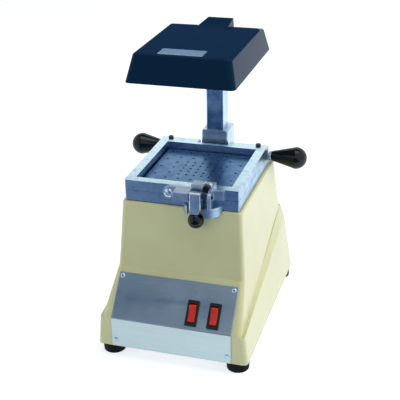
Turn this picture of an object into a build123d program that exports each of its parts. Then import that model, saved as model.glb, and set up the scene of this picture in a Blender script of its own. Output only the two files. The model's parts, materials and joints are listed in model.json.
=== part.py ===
from build123d import *
import math
import os

os.makedirs("parts", exist_ok=True)

# Dental vacuum former for 127 mm (5 in) square sheets. Millimetres, +X to the operator's
# right, +Y to the back, +Z up. The origin is on the surface that the feet stand on, in the
# middle of the machine's footprint.

# ---------------------------------------------------------------- driving dimensions
# Middle of the platform and of the clamping frames, from front to back
window_y = -7.0

# Clamping frames, outside width for a 127 mm sheet; the other widths follow from it
frame_half_width = 69.85
side_rail = 11.25
front_rail = 10.9
hinge_behind_window = 15.8
lower_frame_height = 12.8
upper_frame_height = 12.5
frame_rest_gap = 0.2
sheet_gap = 0.2
frame_corner = 2.0
upper_front_step = 0.1
seal_inset = 1.4
seal_width = 3.2
seal_depth = 1.4
frame_bolt_radius = 2.0
frame_bolt_head = 4.0
frame_bolt_grip = 8.5
notch_gap = 2.3
notch_ahead = 9.0
hinge_pin_radius = 2.0
frame_opening = 45
lug_x = 33.0
lug_thick = 7.0
lug_radius = 4.0
lug_gap = 0.3
lug_seat = 3.0
pin_reach = 12.0
level_screw_inset = 11.55
level_screw_ahead = 2.9
level_screw_head = 3.3
running_clearance = 0.05

# Enamelled housing
foot_height = 14.0
housing_top = 184.9
housing_wall = 3.0
housing_margin = 3.65
front_margin = 2.0
crease_flare = 5.5
bend_flare = 7.3
tower_foot_flare = 3.5
ledge_width = 4.0
crease_z = 102.0
crease_ahead = 9.9
bend_z = 53.0
incline_reach = 42.6
housing_behind_post = 49.5
back_draft = 0.199
front_corner = 6.0
rear_corner = 10.0
rim_radius = 2.4
skirt_draft = 0.10
ledge_front_drop = 2.8
ledge_front_fall = -1.2
ledge_back_z = 94.4
ledge_back_fall = 22.6
exhaust_up = 47.0
exhaust_length = 30.0
exhaust_width = 4.2
exhaust_pitch = 11.0
gland_up = 21.0
gland_x = 45.0
gland_radius = 7.5

# Base plate and rubber feet
base_thick = 2.5
base_lip = 0.6
base_corner = 3.0
boss_radius = 6.0
boss_height = 24.0
base_screw_radius = 1.65
base_screw_head = 3.6
vent_length = 60.0
vent_width = 4.0
vent_pitch = 10.0
foot_inset = 15.3
foot_front_inset = 15.5
foot_back_inset = 16.0
foot_radius = 14.3
sole_radius = 13.4
foot_screw_radius = 2.4
foot_screw_head = 4.8
foot_recess = 6.0

# Bent front panel and its two rocker switches
panel_side_margin = 4.8
panel_sheet = 1.6
panel_top_margin = 8.0
panel_bottom_up = 1.0
panel_screw_inset = 4.6
panel_screw_radius = 3.2
switch_edge = 23.2
switch_spacing = 26.7
switch_up_slope = 19.0
bezel_width = 14.6
bezel_length = 31.0
bezel_height = 1.8
bezel_rim = 1.1
switch_depth = 22.0
terminal_length = 8.0
rocker_width = 8.4
rocker_radius = 11.3
rocker_pivot_depth = 3.0
rocker_tilt = 9.0
rocker_gap = 0.3
rocker_pin_radius = 1.2

# Vacuum platform
platform_gap = 2.2
platform_height = 17.7
platform_plate = 3.0
platform_wall = 4.5
perforation_radius = 1.15
fine_pitch = 9.5
middle_ring = 31.8
outer_ring_inset = 8.8
platform_screw_radius = 1.9
platform_screw_head = 3.4
platform_screw_depth = 12.0
platform_screw_inset = 9.5
suction_radius = 17.0
gasket_thick = 1.0
gasket_inset = 0.6
gasket_gap = 0.4

# Post, slide and handles
post_half = 11.5
post_wall = 2.5
post_behind_hinge = 13.1
post_length = 310.0
slide_gap = 0.1
collar_side_wall = 6.7
collar_front_wall = 3.0
collar_back_wall = 10.0
collar_height = 39.9
collar_draft = 0.8
friction_screw_up = 25.9
handle_up = 6.9
rod_radius = 4.0
handle_boss_radius = 6.8
ferrule_radius = 6.2
ferrule_length = 3.2
handle_start = 2.55
handle_neck_radius = 6.2
handle_taper = 31.1
handle_max_radius = 14.2
handle_dome = 14.8
handle_bore = 22.0

# Post socket on the base plate
socket_flange_x = 56.0
socket_flange_y = 42.0
socket_flange_thick = 4.0
socket_height = 38.0
socket_wall = 6.0
socket_bolts_up = (15.0, 31.0)
socket_bolt_radius = 2.5

# Front clamp
lever_x = 22.0
lever_stand_off = 9.1
pivot_up = 7.9
lever_top_width = 14.6
lever_bottom_width = 10.4
lever_thick = 9.0
lever_drop = 22.0
lever_round = 2.6
lever_eye = 5.4
ball_radius = 9.5
ball_sink = 0.6
clamp_pin_radius = 2.0
keeper_x = 27.0
keeper_half = 24.0
keeper_reach = 18.5
keeper_height = 11.6
keeper_hang = 5.1
keeper_back = 3.2
keeper_slot_gap = 1.3
keeper_screw_radius = 1.55
keeper_screw_grip = 5.5
bracket_plate = 4.8
bracket_reach = 12.0
side_gap = 0.4
ear_gap = 8.2
ear_thick = 3.8
ear_drop = 13.2
slotted_screw_x = -13.0
slotted_screw_up = 3.9
slotted_screw_radius = 6.3
cap_screw_x = 33.0
cap_screw_up = 2.0
cap_screw_radius = 4.3
cap_screw_rim = 2.5
cap_screw_head = 3.0
cap_boss = 0.6

# Heater head
head_height = 31.7
head_wall = 2.0
head_side_inset = 5.35
head_behind_post = 18.5
head_depth = 173.0
head_taper_side = 7.0
head_taper_front = 11.0
head_taper_back = 8.5
head_corner = 6.0
head_round = 4.0
head_slope_run = 19.5
head_slope_drop = 4.7
hump_height = 6.2
hump_left_foot = -25.5
hump_left = -12.5
hump_right = 19.3
hump_run = 30.0
hump_behind_slope = 19.0
hump_round = 1.6
washer_thick = 2.1
spigot_radius = 8.0
spigot_up = 22.5
lead_radius = 3.0
lead_up = 45.0
bracket_up = 16.5
bracket_thick = 3.0
bracket_width = 72.0
bracket_length = 116.0
bracket_behind_post = 2.5
stud_x = 22.0
studs_ahead_of_post = (99.5, 27.5)
stud_radius = 3.0
pan_inset = 7.0
pan_front_inset = 9.6
pan_length = 127.0
pan_up = 4.6
pan_sheet = 1.0
element_radius = 3.1
element_up = 8.4
element_pitch = 12.0
element_runs = 9
element_half_run = 47.0
insulator_x = 36.0
guard_bar = 1.5
guard_pitch = 12.5
plate_width = 52.0
plate_depth = 20.5
plate_thick = 0.8
plate_x = -2.5
plate_inset = 14.0

# Vacuum motor
fan_gap = 1.54
fan_height = 42.0
fan_bolt_inset = 6.0
fan_bolt_head = 4.5
motor_height = 66.0
motor_lip = 3.5
shaft_radius = 4.0

# ---------------------------------------------------------------- values worked out
window_half = frame_half_width - side_rail
window_back = window_y + window_half
frame_front = window_y - window_half - front_rail
upper_front = frame_front - upper_front_step
hinge_y = window_back + hinge_behind_window
seal_inner_half = window_half + seal_inset
platform_half = window_half - platform_gap

lower_frame_bottom = housing_top + gasket_thick + frame_rest_gap
lower_frame_top = lower_frame_bottom + lower_frame_height
upper_frame_bottom = lower_frame_top + sheet_gap
upper_frame_top = upper_frame_bottom + upper_frame_height
pivot_hinge_z = (upper_frame_bottom + upper_frame_top) / 2
hinge_round = upper_frame_height / 2
platform_top = housing_top + platform_height
outer_ring = platform_half - outer_ring_inset
platform_screw_x = outer_ring * 3 / 4
platform_screw_y = platform_half - platform_screw_inset

fan_radius = math.hypot(platform_screw_x, platform_screw_y) - platform_screw_head - fan_gap
motor_flange = fan_radius - fan_bolt_inset - fan_bolt_head - 1.0
motor_radius = motor_flange - motor_lip

post_y = hinge_y + post_behind_hinge
housing_back = post_y + housing_behind_post
top_half_width = frame_half_width + housing_margin
top_front = frame_front - front_margin
crease_half_width = top_half_width + crease_flare
crease_front = top_front - crease_ahead
bend_half_width = crease_half_width + bend_flare
housing_front = crease_front - incline_reach
tower_foot_half_width = bend_half_width + tower_foot_flare
skirt_half_width = tower_foot_half_width + ledge_width
foot_x = skirt_half_width - foot_inset
foot_front_y = housing_front + foot_front_inset
foot_back_y = housing_back - foot_back_inset
panel_half_width = crease_half_width - panel_side_margin
switch_x = (panel_half_width - switch_edge - switch_spacing, panel_half_width - switch_edge)
panel_bottom_z = foot_height + panel_bottom_up
incline = math.atan2(crease_front - housing_front, crease_z - bend_z)
incline_length = math.hypot(crease_front - housing_front, crease_z - bend_z)
slope_up = Vector(0, math.sin(incline), math.cos(incline))
slope_out = Vector(0, -math.cos(incline), math.sin(incline))
bend_point = Vector(0, housing_front, bend_z)
panel_length = incline_length - panel_top_margin

post_bottom = foot_height + base_thick + 0.5
post_top = post_bottom + post_length
collar_half_width = post_half + collar_side_wall
collar_front = post_y - post_half - collar_front_wall
collar_back = post_y + post_half + collar_back_wall
collar_top = lower_frame_bottom + collar_height
collar_notch_half = collar_half_width + notch_gap
upper_notch_front = collar_front - notch_ahead
frame_bolt_x = (post_half + slide_gap + collar_half_width) / 2
frame_bolt_z = (lower_frame_bottom + lower_frame_top) / 2
friction_screw_z = lower_frame_bottom + friction_screw_up
handle_z = lower_frame_bottom + handle_up
handle_neck_x = frame_half_width + handle_start
handle_max_x = handle_neck_x + handle_taper
handle_end_x = handle_max_x + handle_dome
level_screw_x = frame_half_width - level_screw_inset
level_screw_y = hinge_y - level_screw_ahead

lever_y = upper_front - bracket_plate - lever_stand_off
pivot_z = upper_frame_bottom + pivot_up
lever_bottom_z = pivot_z - lever_drop
slotted_screw_z = upper_frame_bottom + slotted_screw_up
cap_screw_z = upper_frame_top + cap_screw_up
bracket_right = lever_x + lever_top_width / 2 + ear_gap + ear_thick + bracket_reach
keeper_bottom = lower_frame_bottom - keeper_hang
keeper_slot_half = ball_radius + keeper_slot_gap
keeper_screw_z = (lower_frame_bottom + keeper_bottom + keeper_height) / 2
keeper_screw_x = (
    (keeper_x - keeper_half + lever_x - keeper_slot_half) / 2,
    (keeper_x + keeper_half + lever_x + keeper_slot_half) / 2,
)

head_bottom = post_top + 2.5
head_top = head_bottom + head_height
head_bottom_half_width = frame_half_width - head_side_inset
head_bottom_back = post_y + head_behind_post
head_bottom_front = head_bottom_back - head_depth
head_top_half_width = head_bottom_half_width - head_taper_side
head_top_front = head_bottom_front + head_taper_front
head_top_back = head_bottom_back - head_taper_back
head_slope_start = head_top_back - head_slope_run
hump_back = head_slope_start + hump_behind_slope
hump_ramp = math.atan2(hump_height, hump_run)
element_z = head_bottom + element_up


def section(height, half_width, front, back, front_radius, rear_radius):
    """One level of a lofted body: a rectangle with its front and rear corners rounded."""
    with BuildSketch(Plane.XY.offset(height)) as level:
        with Locations((0, (front + back) / 2)):
            Rectangle(2 * half_width, back - front)
        fillet(level.vertices().group_by(Axis.Y)[0], front_radius)
        fillet(level.vertices().group_by(Axis.Y)[-1], rear_radius)
    return level.sketch


def window_level(height):
    """A level plane whose origin is in the middle of the platform."""
    return Plane.XY.offset(height).move(Location((0, window_y, 0)))


def block(x_low, x_high, y_low, y_high, z_low, z_high, mode=Mode.ADD):
    """A box between two corners, in the part being built."""
    with Locations(((x_low + x_high) / 2, (y_low + y_high) / 2, (z_low + z_high) / 2)):
        Box(x_high - x_low, y_high - y_low, z_high - z_low, mode=mode)


def rod_along_x(x_low, x_high, y, z, radius, mode=Mode.ADD):
    """A round bar or bore along X."""
    with Locations(Location(((x_low + x_high) / 2, y, z), (0, 90, 0))):
        Cylinder(radius, x_high - x_low, mode=mode)


def rod_along_y(x, y_low, y_high, z, radius, mode=Mode.ADD):
    """A round bar or bore along Y."""
    with Locations(Location((x, (y_low + y_high) / 2, z), (90, 0, 0))):
        Cylinder(radius, y_high - y_low, mode=mode)


def rod_along_z(x, y, z_low, z_high, radius, mode=Mode.ADD):
    """A round bar or bore along Z."""
    with Locations((x, y, (z_low + z_high) / 2)):
        Cylinder(radius, z_high - z_low, mode=mode)


# ---------------------------------------------------------------- housing
def back_at(height):
    """Where the housing's one sloping back plane stands at a height."""
    return housing_back - (height - foot_height) * back_draft


def tower_sections(wall, top):
    """The four levels of the tower, drawn in by the wall."""
    levels = (
        (foot_height, tower_foot_half_width, housing_front),
        (bend_z, bend_half_width, housing_front),
        (crease_z, crease_half_width, crease_front),
        (top, top_half_width, top_front),
    )
    corners = (front_corner - 0.6 * wall, rear_corner - 0.6 * wall)
    return [section(z, half - wall, front + wall, back_at(z) - wall, *corners) for z, half, front in levels]


def skirt_block(wall):
    """Foot and top outlines of the drafted block that the skirt is cut from."""
    top = ledge_back_z + ledge_back_fall + 10
    levels = ((foot_height, skirt_half_width), (top, skirt_half_width - (top - foot_height) * skirt_draft))
    corners = (front_corner - 0.6 * wall, rear_corner - 0.6 * wall)
    return [section(z, half - wall, housing_front + wall, back_at(z) - wall, *corners) for z, half in levels]


def ledge_ends(wall):
    """Front and back outlines under the ledge, which climbs and twists towards the back."""
    ends = (
        (housing_front - 1, bend_z - ledge_front_drop, ledge_front_fall, bend_half_width),
        (housing_back + 1, ledge_back_z, ledge_back_fall, crease_half_width - 1),
    )
    outlines = []
    for y, outer_z, rise, inner_half in ends:
        inner_z = outer_z + rise
        outer_half = skirt_half_width - (outer_z - foot_height) * skirt_draft
        fall = rise / (outer_half - inner_half)
        far_half = outer_half + 8
        with BuildSketch(Plane(origin=(0, y, 0), x_dir=(1, 0, 0), z_dir=(0, -1, 0))) as outline:
            Polygon(
                (-far_half, foot_height - 1),
                (far_half, foot_height - 1),
                (far_half, outer_z - wall - 8 * fall),
                (inner_half - wall, inner_z - wall),
                (-inner_half + wall, inner_z - wall),
                (-far_half, outer_z - wall - 8 * fall),
                align=None,
            )
        outlines.append(outline.sketch)
    return outlines


with BuildPart() as skirt_outside:
    loft(skirt_block(0), ruled=True)
    loft(ledge_ends(0), ruled=True, mode=Mode.INTERSECT)

with BuildPart() as skirt_inside:
    loft(skirt_block(housing_wall), ruled=True)
    loft(ledge_ends(housing_wall), ruled=True, mode=Mode.INTERSECT)

with BuildPart() as tower_inside:
    loft(tower_sections(housing_wall, housing_top - housing_wall), ruled=True)

switch_planes = [
    Plane(
        origin=bend_point + slope_up * switch_up_slope + slope_out * panel_sheet + Vector(x, 0, 0),
        x_dir=(1, 0, 0),
        z_dir=slope_out,
    )
    for x in switch_x
]
switch_body_width = bezel_width - 2 * bezel_rim
switch_body_length = bezel_length - 2 * bezel_rim - 1.4
boss_x = skirt_half_width - housing_wall - boss_radius - 1.0
boss_places = [(sx * boss_x, y) for sx in (-1, 1) for y in (housing_front + 40, housing_back - 45)]
platform_screw_places = [(sx * platform_screw_x, window_y + sy * platform_screw_y)
                         for sx in (-1, 1) for sy in (-1, 1)]
motor_bolt_circle = fan_radius - fan_bolt_inset
back_lean = math.atan(back_draft)
back_face = Plane(
    origin=(0, housing_back, foot_height),
    x_dir=(-1, 0, 0),
    z_dir=(0, math.cos(back_lean), math.sin(back_lean)),
)

with BuildPart() as housing:
    loft(tower_sections(0, housing_top), ruled=True)
    add(skirt_outside.part)
    top_rim = housing.edges().group_by(Axis.Z)[-1]
    fillet(top_rim, rim_radius)
    add(tower_inside.part, mode=Mode.SUBTRACT)
    add(skirt_inside.part, mode=Mode.SUBTRACT)
    # bosses that take the base plate's screws
    for x, y in boss_places:
        rod_along_z(x, y, foot_height + base_thick, foot_height + boss_height, boss_radius)
        rod_along_z(x, y, foot_height + base_thick, foot_height + boss_height - 6,
                    base_screw_radius + running_clearance, Mode.SUBTRACT)
    # square hole that the post stands through, and the suction hole under the platform
    post_hole = post_half + 0.3
    block(-post_hole, post_hole, post_y - post_hole, post_y + post_hole,
          housing_top - 8, housing_top + 1, Mode.SUBTRACT)
    rod_along_z(0, window_y, housing_top - 8, housing_top + 1, suction_radius, Mode.SUBTRACT)
    for x, y in platform_screw_places:
        rod_along_z(x, y, housing_top - 8, housing_top + 1, platform_screw_radius + 0.3, Mode.SUBTRACT)
    with Locations((0, window_y, housing_top - 3)):
        with PolarLocations(motor_bolt_circle, 3, 90):
            Cylinder(2.7, 12, mode=Mode.SUBTRACT)
    # windows behind the switches
    for plane in switch_planes:
        with BuildSketch(plane):
            Rectangle(switch_body_width + 0.6, switch_body_length + 0.6)
        extrude(amount=-14, mode=Mode.SUBTRACT)
    # exhaust slots and the cord's hole in the back
    with BuildSketch(back_face):
        with Locations((0, exhaust_up)):
            with GridLocations(exhaust_pitch, 0, 7, 1):
                SlotOverall(exhaust_length, exhaust_width, rotation=90)
        with Locations((gland_x, gland_up)):
            Circle(gland_radius + 0.1)
    extrude(amount=-12, mode=Mode.SUBTRACT)
housing.part.label = "housing"
export_step(housing.part, "parts/housing.step")

socket_screw_grid = (socket_flange_x - 12, socket_flange_y - 12)
with BuildPart() as base_plate:
    lip = housing_wall + base_lip
    plate_back = back_at(foot_height + base_thick) - lip
    add(section(foot_height, skirt_half_width - lip, housing_front + lip, plate_back,
                front_corner - 0.6 * lip, rear_corner - 0.6 * lip))
    extrude(amount=base_thick)
    with Locations(*[(x, y, foot_height) for x, y in boss_places]):
        Cylinder(base_screw_radius + 0.45, 8, mode=Mode.SUBTRACT)
    foot_places = [(sx * foot_x, y) for sx in (-1, 1) for y in (foot_front_y, foot_back_y)]
    with Locations(*[(x, y, foot_height) for x, y in foot_places]):
        Cylinder(foot_screw_radius + 0.2, 8, mode=Mode.SUBTRACT)
    with Locations((0, post_y, foot_height)):
        with GridLocations(*socket_screw_grid, 2, 2):
            Cylinder(2.1, 8, mode=Mode.SUBTRACT)
    with BuildSketch(window_level(foot_height)):
        with GridLocations(vent_pitch, 0, 8, 1):
            SlotOverall(vent_length, vent_width, rotation=90)
    extrude(amount=base_thick, mode=Mode.SUBTRACT)
base_plate.part.label = "base_plate"
export_step(base_plate.part, "parts/base_plate.step")

with BuildPart() as base_screws:
    for x, y in boss_places:
        rod_along_z(x, y, foot_height, foot_height + boss_height - 8, base_screw_radius)
        rod_along_z(x, y, foot_height - 2.2, foot_height, base_screw_head)
base_screws.part.label = "base_screws"
export_step(base_screws.part, "parts/base_screws.step")

with BuildPart() as feet:
    for x, y in foot_places:
        with BuildSketch(Plane.XY) as sole:
            with Locations((x, y)):
                Circle(sole_radius)
        with BuildSketch(Plane.XY.offset(foot_height)):
            with Locations((x, y)):
                Circle(foot_radius)
        loft()
        rod_along_z(x, y, 0, foot_recess, foot_screw_head + 1.2, Mode.SUBTRACT)
        rod_along_z(x, y, 0, foot_height, foot_screw_radius + 0.2, Mode.SUBTRACT)
    fillet(feet.edges().filter_by(GeomType.CIRCLE).group_by(Axis.Z)[0].filter_by(
        lambda e: e.radius > 10), 1.2)
feet.part.label = "feet"
export_step(feet.part, "parts/feet.step")

with BuildPart() as foot_screws:
    for x, y in foot_places:
        rod_along_z(x, y, foot_recess, foot_height + base_thick + 4.5, foot_screw_radius)
        rod_along_z(x, y, foot_recess - 2.8, foot_recess, foot_screw_head)
        with BuildSketch(Plane.XY.offset(foot_height + base_thick)):
            with Locations((x, y)):
                RegularPolygon(4.4, 6)
        extrude(amount=3.6)
foot_screws.part.label = "foot_screws"
export_step(foot_screws.part, "parts/foot_screws.step")

# ---------------------------------------------------------------- front panel and switches
with BuildPart() as front_panel:
    top_edge = bend_point + slope_up * panel_length
    outer_top = top_edge + slope_out * panel_sheet
    outer_bend_z = bend_z + panel_sheet * math.tan(incline / 2)
    with BuildSketch(Plane.YZ.offset(-panel_half_width)):
        Polygon(
            (top_edge.Y, top_edge.Z),
            (housing_front, bend_z),
            (housing_front, panel_bottom_z),
            (housing_front - panel_sheet, panel_bottom_z),
            (housing_front - panel_sheet, outer_bend_z),
            (outer_top.Y, outer_top.Z),
            align=None,
        )
    extrude(amount=2 * panel_half_width)
    outer_bend = front_panel.edges().filter_by(Axis.X).sort_by_distance(
        (0, housing_front - panel_sheet, outer_bend_z))[0]
    fillet(outer_bend, 2.5)
    for plane in switch_planes:
        with BuildSketch(plane):
            Rectangle(switch_body_width + 0.4, switch_body_length + 0.4)
        extrude(amount=-4, mode=Mode.SUBTRACT)
front_panel.part.label = "front_panel"
export_step(front_panel.part, "parts/front_panel.step")

slope_screws = Plane(
    origin=bend_point + slope_up * (panel_length - panel_screw_inset) + slope_out * panel_sheet,
    x_dir=(1, 0, 0),
    z_dir=slope_out,
)
foot_of_panel_screws = Plane(
    origin=(0, housing_front - panel_sheet, panel_bottom_z + 9.0), x_dir=(1, 0, 0), z_dir=(0, -1, 0)
)
with BuildPart() as panel_screws:
    for plane in (slope_screws, foot_of_panel_screws):
        with BuildSketch(plane):
            with GridLocations(2 * (panel_half_width - panel_screw_inset), 0, 2, 1):
                Circle(panel_screw_radius)
        extrude(amount=1.5)
    fillet(panel_screws.edges().filter_by(GeomType.CIRCLE).filter_by(
        lambda e: e.radius > panel_screw_radius - 0.01 and e.center().Z > 0
        and e.center().Y < housing_front * 0.5).sort_by(Axis.Y)[0:1], 0.4)
panel_screws.part.label = "panel_screws"
export_step(panel_screws.part, "parts/panel_screws.step")


def switch_profile_plane(plane, tilt):
    """The plane across a rocker's pin: x up the slope, y out of the panel, turned by the tilt."""
    turn = math.radians(tilt)
    along = slope_up * math.cos(turn) + slope_out * math.sin(turn)
    return Plane(origin=plane.origin - slope_out * rocker_pivot_depth, x_dir=along, z_dir=(1, 0, 0))


for plane, name in zip(switch_planes, ("vacuum_switch", "heater_switch")):
    with BuildPart() as switch_body:
        with BuildSketch(plane):
            RectangleRounded(bezel_width, bezel_length, 1.2)
        extrude(amount=bezel_height)
        chamfer(switch_body.faces().sort_by(Axis(plane.origin, slope_out))[-1].edges(), 0.5)
        with BuildSketch(plane):
            Rectangle(switch_body_width, switch_body_length)
        extrude(amount=-switch_depth)
        with BuildSketch(plane.offset(bezel_height)):
            Rectangle(rocker_width + 2 * rocker_gap, 2 * (rocker_radius + rocker_gap))
        extrude(amount=-bezel_height - 12, mode=Mode.SUBTRACT)
        with BuildSketch(switch_profile_plane(plane, 0)):
            Circle(rocker_pin_radius + running_clearance)
        extrude(amount=switch_body_width / 2 - 0.4, both=True, mode=Mode.SUBTRACT)
        # three spade terminals on the back
        with BuildSketch(plane.offset(-switch_depth)):
            with GridLocations(0, 8.5, 1, 3):
                Rectangle(6.3, 0.8)
        extrude(amount=-terminal_length)
    switch_body.part.label = f"{name}_body"
    export_step(switch_body.part, f"parts/{name}_body.step")

    with BuildPart() as rocker:
        with BuildSketch(switch_profile_plane(plane, rocker_tilt)):
            Circle(rocker_radius)
            Polygon((-14, 6.6), (0, 4.9), (14, 6.6), (14, 16), (-14, 16), align=None, mode=Mode.SUBTRACT)
            with Locations((0, -12)):
                Rectangle(30, 14, mode=Mode.SUBTRACT)
        extrude(amount=rocker_width / 2, both=True)
        with BuildSketch(switch_profile_plane(plane, 0)):
            Circle(rocker_pin_radius)
        extrude(amount=switch_body_width / 2 - 0.7, both=True)
    rocker.part.label = f"{name}_rocker"
    export_step(rocker.part, f"parts/{name}_rocker.step")

# ---------------------------------------------------------------- vacuum platform
def ring_points(half, per_side):
    """Evenly spaced points round a square ring, corners once."""
    step = 2 * half / (per_side - 1)
    line = [-half + step * i for i in range(per_side)]
    return [(x, y) for x in line for y in line if max(abs(x), abs(y)) > half - 0.01]


perforations = [(fine_pitch * i, fine_pitch * j) for i in range(-2, 3) for j in range(-2, 3)]
perforations += ring_points(middle_ring, 5) + ring_points(outer_ring, 5)

with BuildPart() as vacuum_platform:
    with BuildSketch(window_level(housing_top)):
        RectangleRounded(2 * platform_half, 2 * platform_half, 3.0)
    extrude(amount=platform_top - housing_top)
    chamfer(vacuum_platform.faces().sort_by(Axis.Z)[-1].edges(), 0.8)
    inner_half = platform_half - platform_wall
    with BuildSketch(window_level(housing_top)):
        RectangleRounded(2 * inner_half, 2 * inner_half, 2.0)
    extrude(amount=platform_top - platform_plate - housing_top, mode=Mode.SUBTRACT)
    for x, y in platform_screw_places:
        rod_along_z(x, y, housing_top, platform_top - platform_plate, platform_screw_radius + 2.7)
        rod_along_z(x, y, housing_top, housing_top + platform_screw_depth,
                    platform_screw_radius + running_clearance, Mode.SUBTRACT)
    with BuildSketch(window_level(platform_top)):
        with Locations(*perforations):
            Circle(perforation_radius)
    extrude(amount=-platform_plate, mode=Mode.SUBTRACT)
vacuum_platform.part.label = "vacuum_platform"
export_step(vacuum_platform.part, "parts/vacuum_platform.step")

with BuildPart() as platform_screws:
    under_top = housing_top - housing_wall
    for x, y in platform_screw_places:
        rod_along_z(x, y, under_top, housing_top + platform_screw_depth - 2, platform_screw_radius)
        rod_along_z(x, y, under_top - 2.4, under_top, platform_screw_head)
platform_screws.part.label = "platform_screws"
export_step(platform_screws.part, "parts/platform_screws.step")

with BuildPart() as base_gasket:
    with BuildSketch(window_level(housing_top)):
        gasket_outer = frame_half_width - gasket_inset
        RectangleRounded(2 * gasket_outer, 2 * gasket_outer - 0.4, 3.0)
        gasket_inner = platform_half + gasket_gap
        RectangleRounded(2 * gasket_inner, 2 * gasket_inner, 3.2, mode=Mode.SUBTRACT)
    extrude(amount=gasket_thick)
base_gasket.part.label = "base_gasket"
export_step(base_gasket.part, "parts/base_gasket.step")

# ---------------------------------------------------------------- vacuum motor
case_top = housing_top - housing_wall - 1.5
case_bottom = case_top - fan_height
motor_bottom = case_bottom - motor_height
with BuildPart() as motor_gasket:
    rod_along_z(0, window_y, case_top, case_top + 1.5, 30.0)
    rod_along_z(0, window_y, case_top, case_top + 1.5, suction_radius, Mode.SUBTRACT)
motor_gasket.part.label = "motor_gasket"
export_step(motor_gasket.part, "parts/motor_gasket.step")

motor_axis = Axis((0, window_y, 0), (0, 0, 1))
motor_section = Plane(origin=(0, window_y, 0), x_dir=(1, 0, 0), z_dir=(0, -1, 0))

with BuildPart() as fan_case:
    rod_along_z(0, window_y, case_bottom, case_top, fan_radius)
    # tangential spout towards the exhaust slots
    spout_x = -fan_radius + 7
    spout_back = window_y + fan_radius + 8
    block(spout_x, spout_x + 20, window_y + 20, spout_back, case_bottom + 6, case_bottom + 26)
    block(spout_x + 2, spout_x + 18, window_y + 25, spout_back + 1, case_bottom + 8, case_bottom + 24,
          Mode.SUBTRACT)
    rod_along_z(0, window_y, case_bottom + 2, case_top - 2, fan_radius - 9, Mode.SUBTRACT)
    rod_along_z(0, window_y, case_top - 3, case_top + 1, suction_radius, Mode.SUBTRACT)
    rod_along_z(0, window_y, case_bottom - 1, case_bottom + 3, 20.0, Mode.SUBTRACT)
    with Locations((0, window_y, (case_top + case_bottom) / 2)):
        with PolarLocations(motor_bolt_circle, 3, 90):
            Cylinder(2.7, fan_height + 4, mode=Mode.SUBTRACT)
fan_case.part.label = "fan_case"
export_step(fan_case.part, "parts/fan_case.step")

with BuildPart() as fan_impeller:
    rod_along_z(0, window_y, case_bottom + 12, case_bottom + 13.5, fan_radius - 14)
    rod_along_z(0, window_y, case_bottom + 30, case_bottom + 31.5, fan_radius - 14)
    rod_along_z(0, window_y, case_bottom + 30, case_bottom + 31.5, 16, Mode.SUBTRACT)
    with BuildSketch(window_level(case_bottom + 13.5)):
        with PolarLocations((fan_radius - 14) / 2 + 7, 8):
            Rectangle(fan_radius - 34, 1.4, rotation=28)
    extrude(amount=16.5)
    rod_along_z(0, window_y, case_bottom + 8, case_bottom + 22, 7.0)
    rod_along_z(0, window_y, case_bottom + 6, case_bottom + 40, shaft_radius + running_clearance,
                Mode.SUBTRACT)
fan_impeller.part.label = "fan_impeller"
export_step(fan_impeller.part, "parts/fan_impeller.step")

with BuildPart() as vacuum_motor:
    with BuildSketch(motor_section):
        with BuildLine():
            Polyline((0, case_bottom), (motor_flange, case_bottom), (motor_flange, case_bottom - 3),
                     (motor_radius, case_bottom - 3), (motor_radius, motor_bottom + 14),
                     (motor_radius - 12, motor_bottom), (0, motor_bottom), (0, case_bottom))
        make_face()
    revolve(axis=motor_axis)
    rod_along_z(0, window_y, case_bottom, case_bottom + 24, shaft_radius)
    # cooling slots round the motor's shell
    with Locations((0, window_y, (case_bottom + motor_bottom) / 2)):
        with PolarLocations(motor_radius, 10):
            Box(10, 6, 26, mode=Mode.SUBTRACT)
vacuum_motor.part.label = "vacuum_motor"
export_step(vacuum_motor.part, "parts/vacuum_motor.step")

with BuildPart() as motor_bolts:
    for i in range(3):
        angle = math.radians(90 + 120 * i)
        x = motor_bolt_circle * math.cos(angle)
        y = window_y + motor_bolt_circle * math.sin(angle)
        rod_along_z(x, y, case_bottom, housing_top - 0.4, 2.5)
        rod_along_z(x, y, case_bottom - 4, case_bottom, fan_bolt_head)
motor_bolts.part.label = "motor_bolts"
export_step(motor_bolts.part, "parts/motor_bolts.step")

# ---------------------------------------------------------------- post
socket_bolt_levels = [post_bottom + up for up in socket_bolts_up]
with BuildPart() as post:
    with BuildSketch(Plane.XY.offset(post_bottom)):
        with Locations((0, post_y)):
            RectangleRounded(2 * post_half, 2 * post_half, 1.6)
            inner = 2 * (post_half - post_wall)
            RectangleRounded(inner, inner, 0.8, mode=Mode.SUBTRACT)
    extrude(amount=post_top - post_bottom)
    for z in socket_bolt_levels:
        rod_along_x(-20, 20, post_y, z, socket_bolt_radius + 0.1, Mode.SUBTRACT)
    # stop hole for the carriage's upper limit and the hole that the heater's lead comes in by
    rod_along_y(0, post_y - post_half - 1, post_y, post_bottom + lead_up + 4, 5.0, Mode.SUBTRACT)
post.part.label = "post"
export_step(post.part, "parts/post.step")

with BuildPart() as post_socket:
    floor = foot_height + base_thick
    with BuildSketch(Plane.XY.offset(floor)):
        with Locations((0, post_y)):
            RectangleRounded(socket_flange_x, socket_flange_y, 4)
    extrude(amount=socket_flange_thick)
    with BuildSketch(Plane.XY.offset(floor + socket_flange_thick)):
        with Locations((0, post_y)):
            RectangleRounded(2 * (post_half + socket_wall), 2 * (post_half + socket_wall) - 2, 3)
    extrude(amount=socket_height)
    bore = post_half + running_clearance
    block(-bore, bore, post_y - bore, post_y + bore, floor, floor + socket_height + 16, Mode.SUBTRACT)
    for z in socket_bolt_levels:
        rod_along_x(-30, 30, post_y, z, socket_bolt_radius + 0.1, Mode.SUBTRACT)
    with Locations((0, post_y, floor + 1.5)):
        with GridLocations(*socket_screw_grid, 2, 2):
            Cylinder(1.9, 6, mode=Mode.SUBTRACT)
post_socket.part.label = "post_socket"
export_step(post_socket.part, "parts/post_socket.step")

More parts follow.
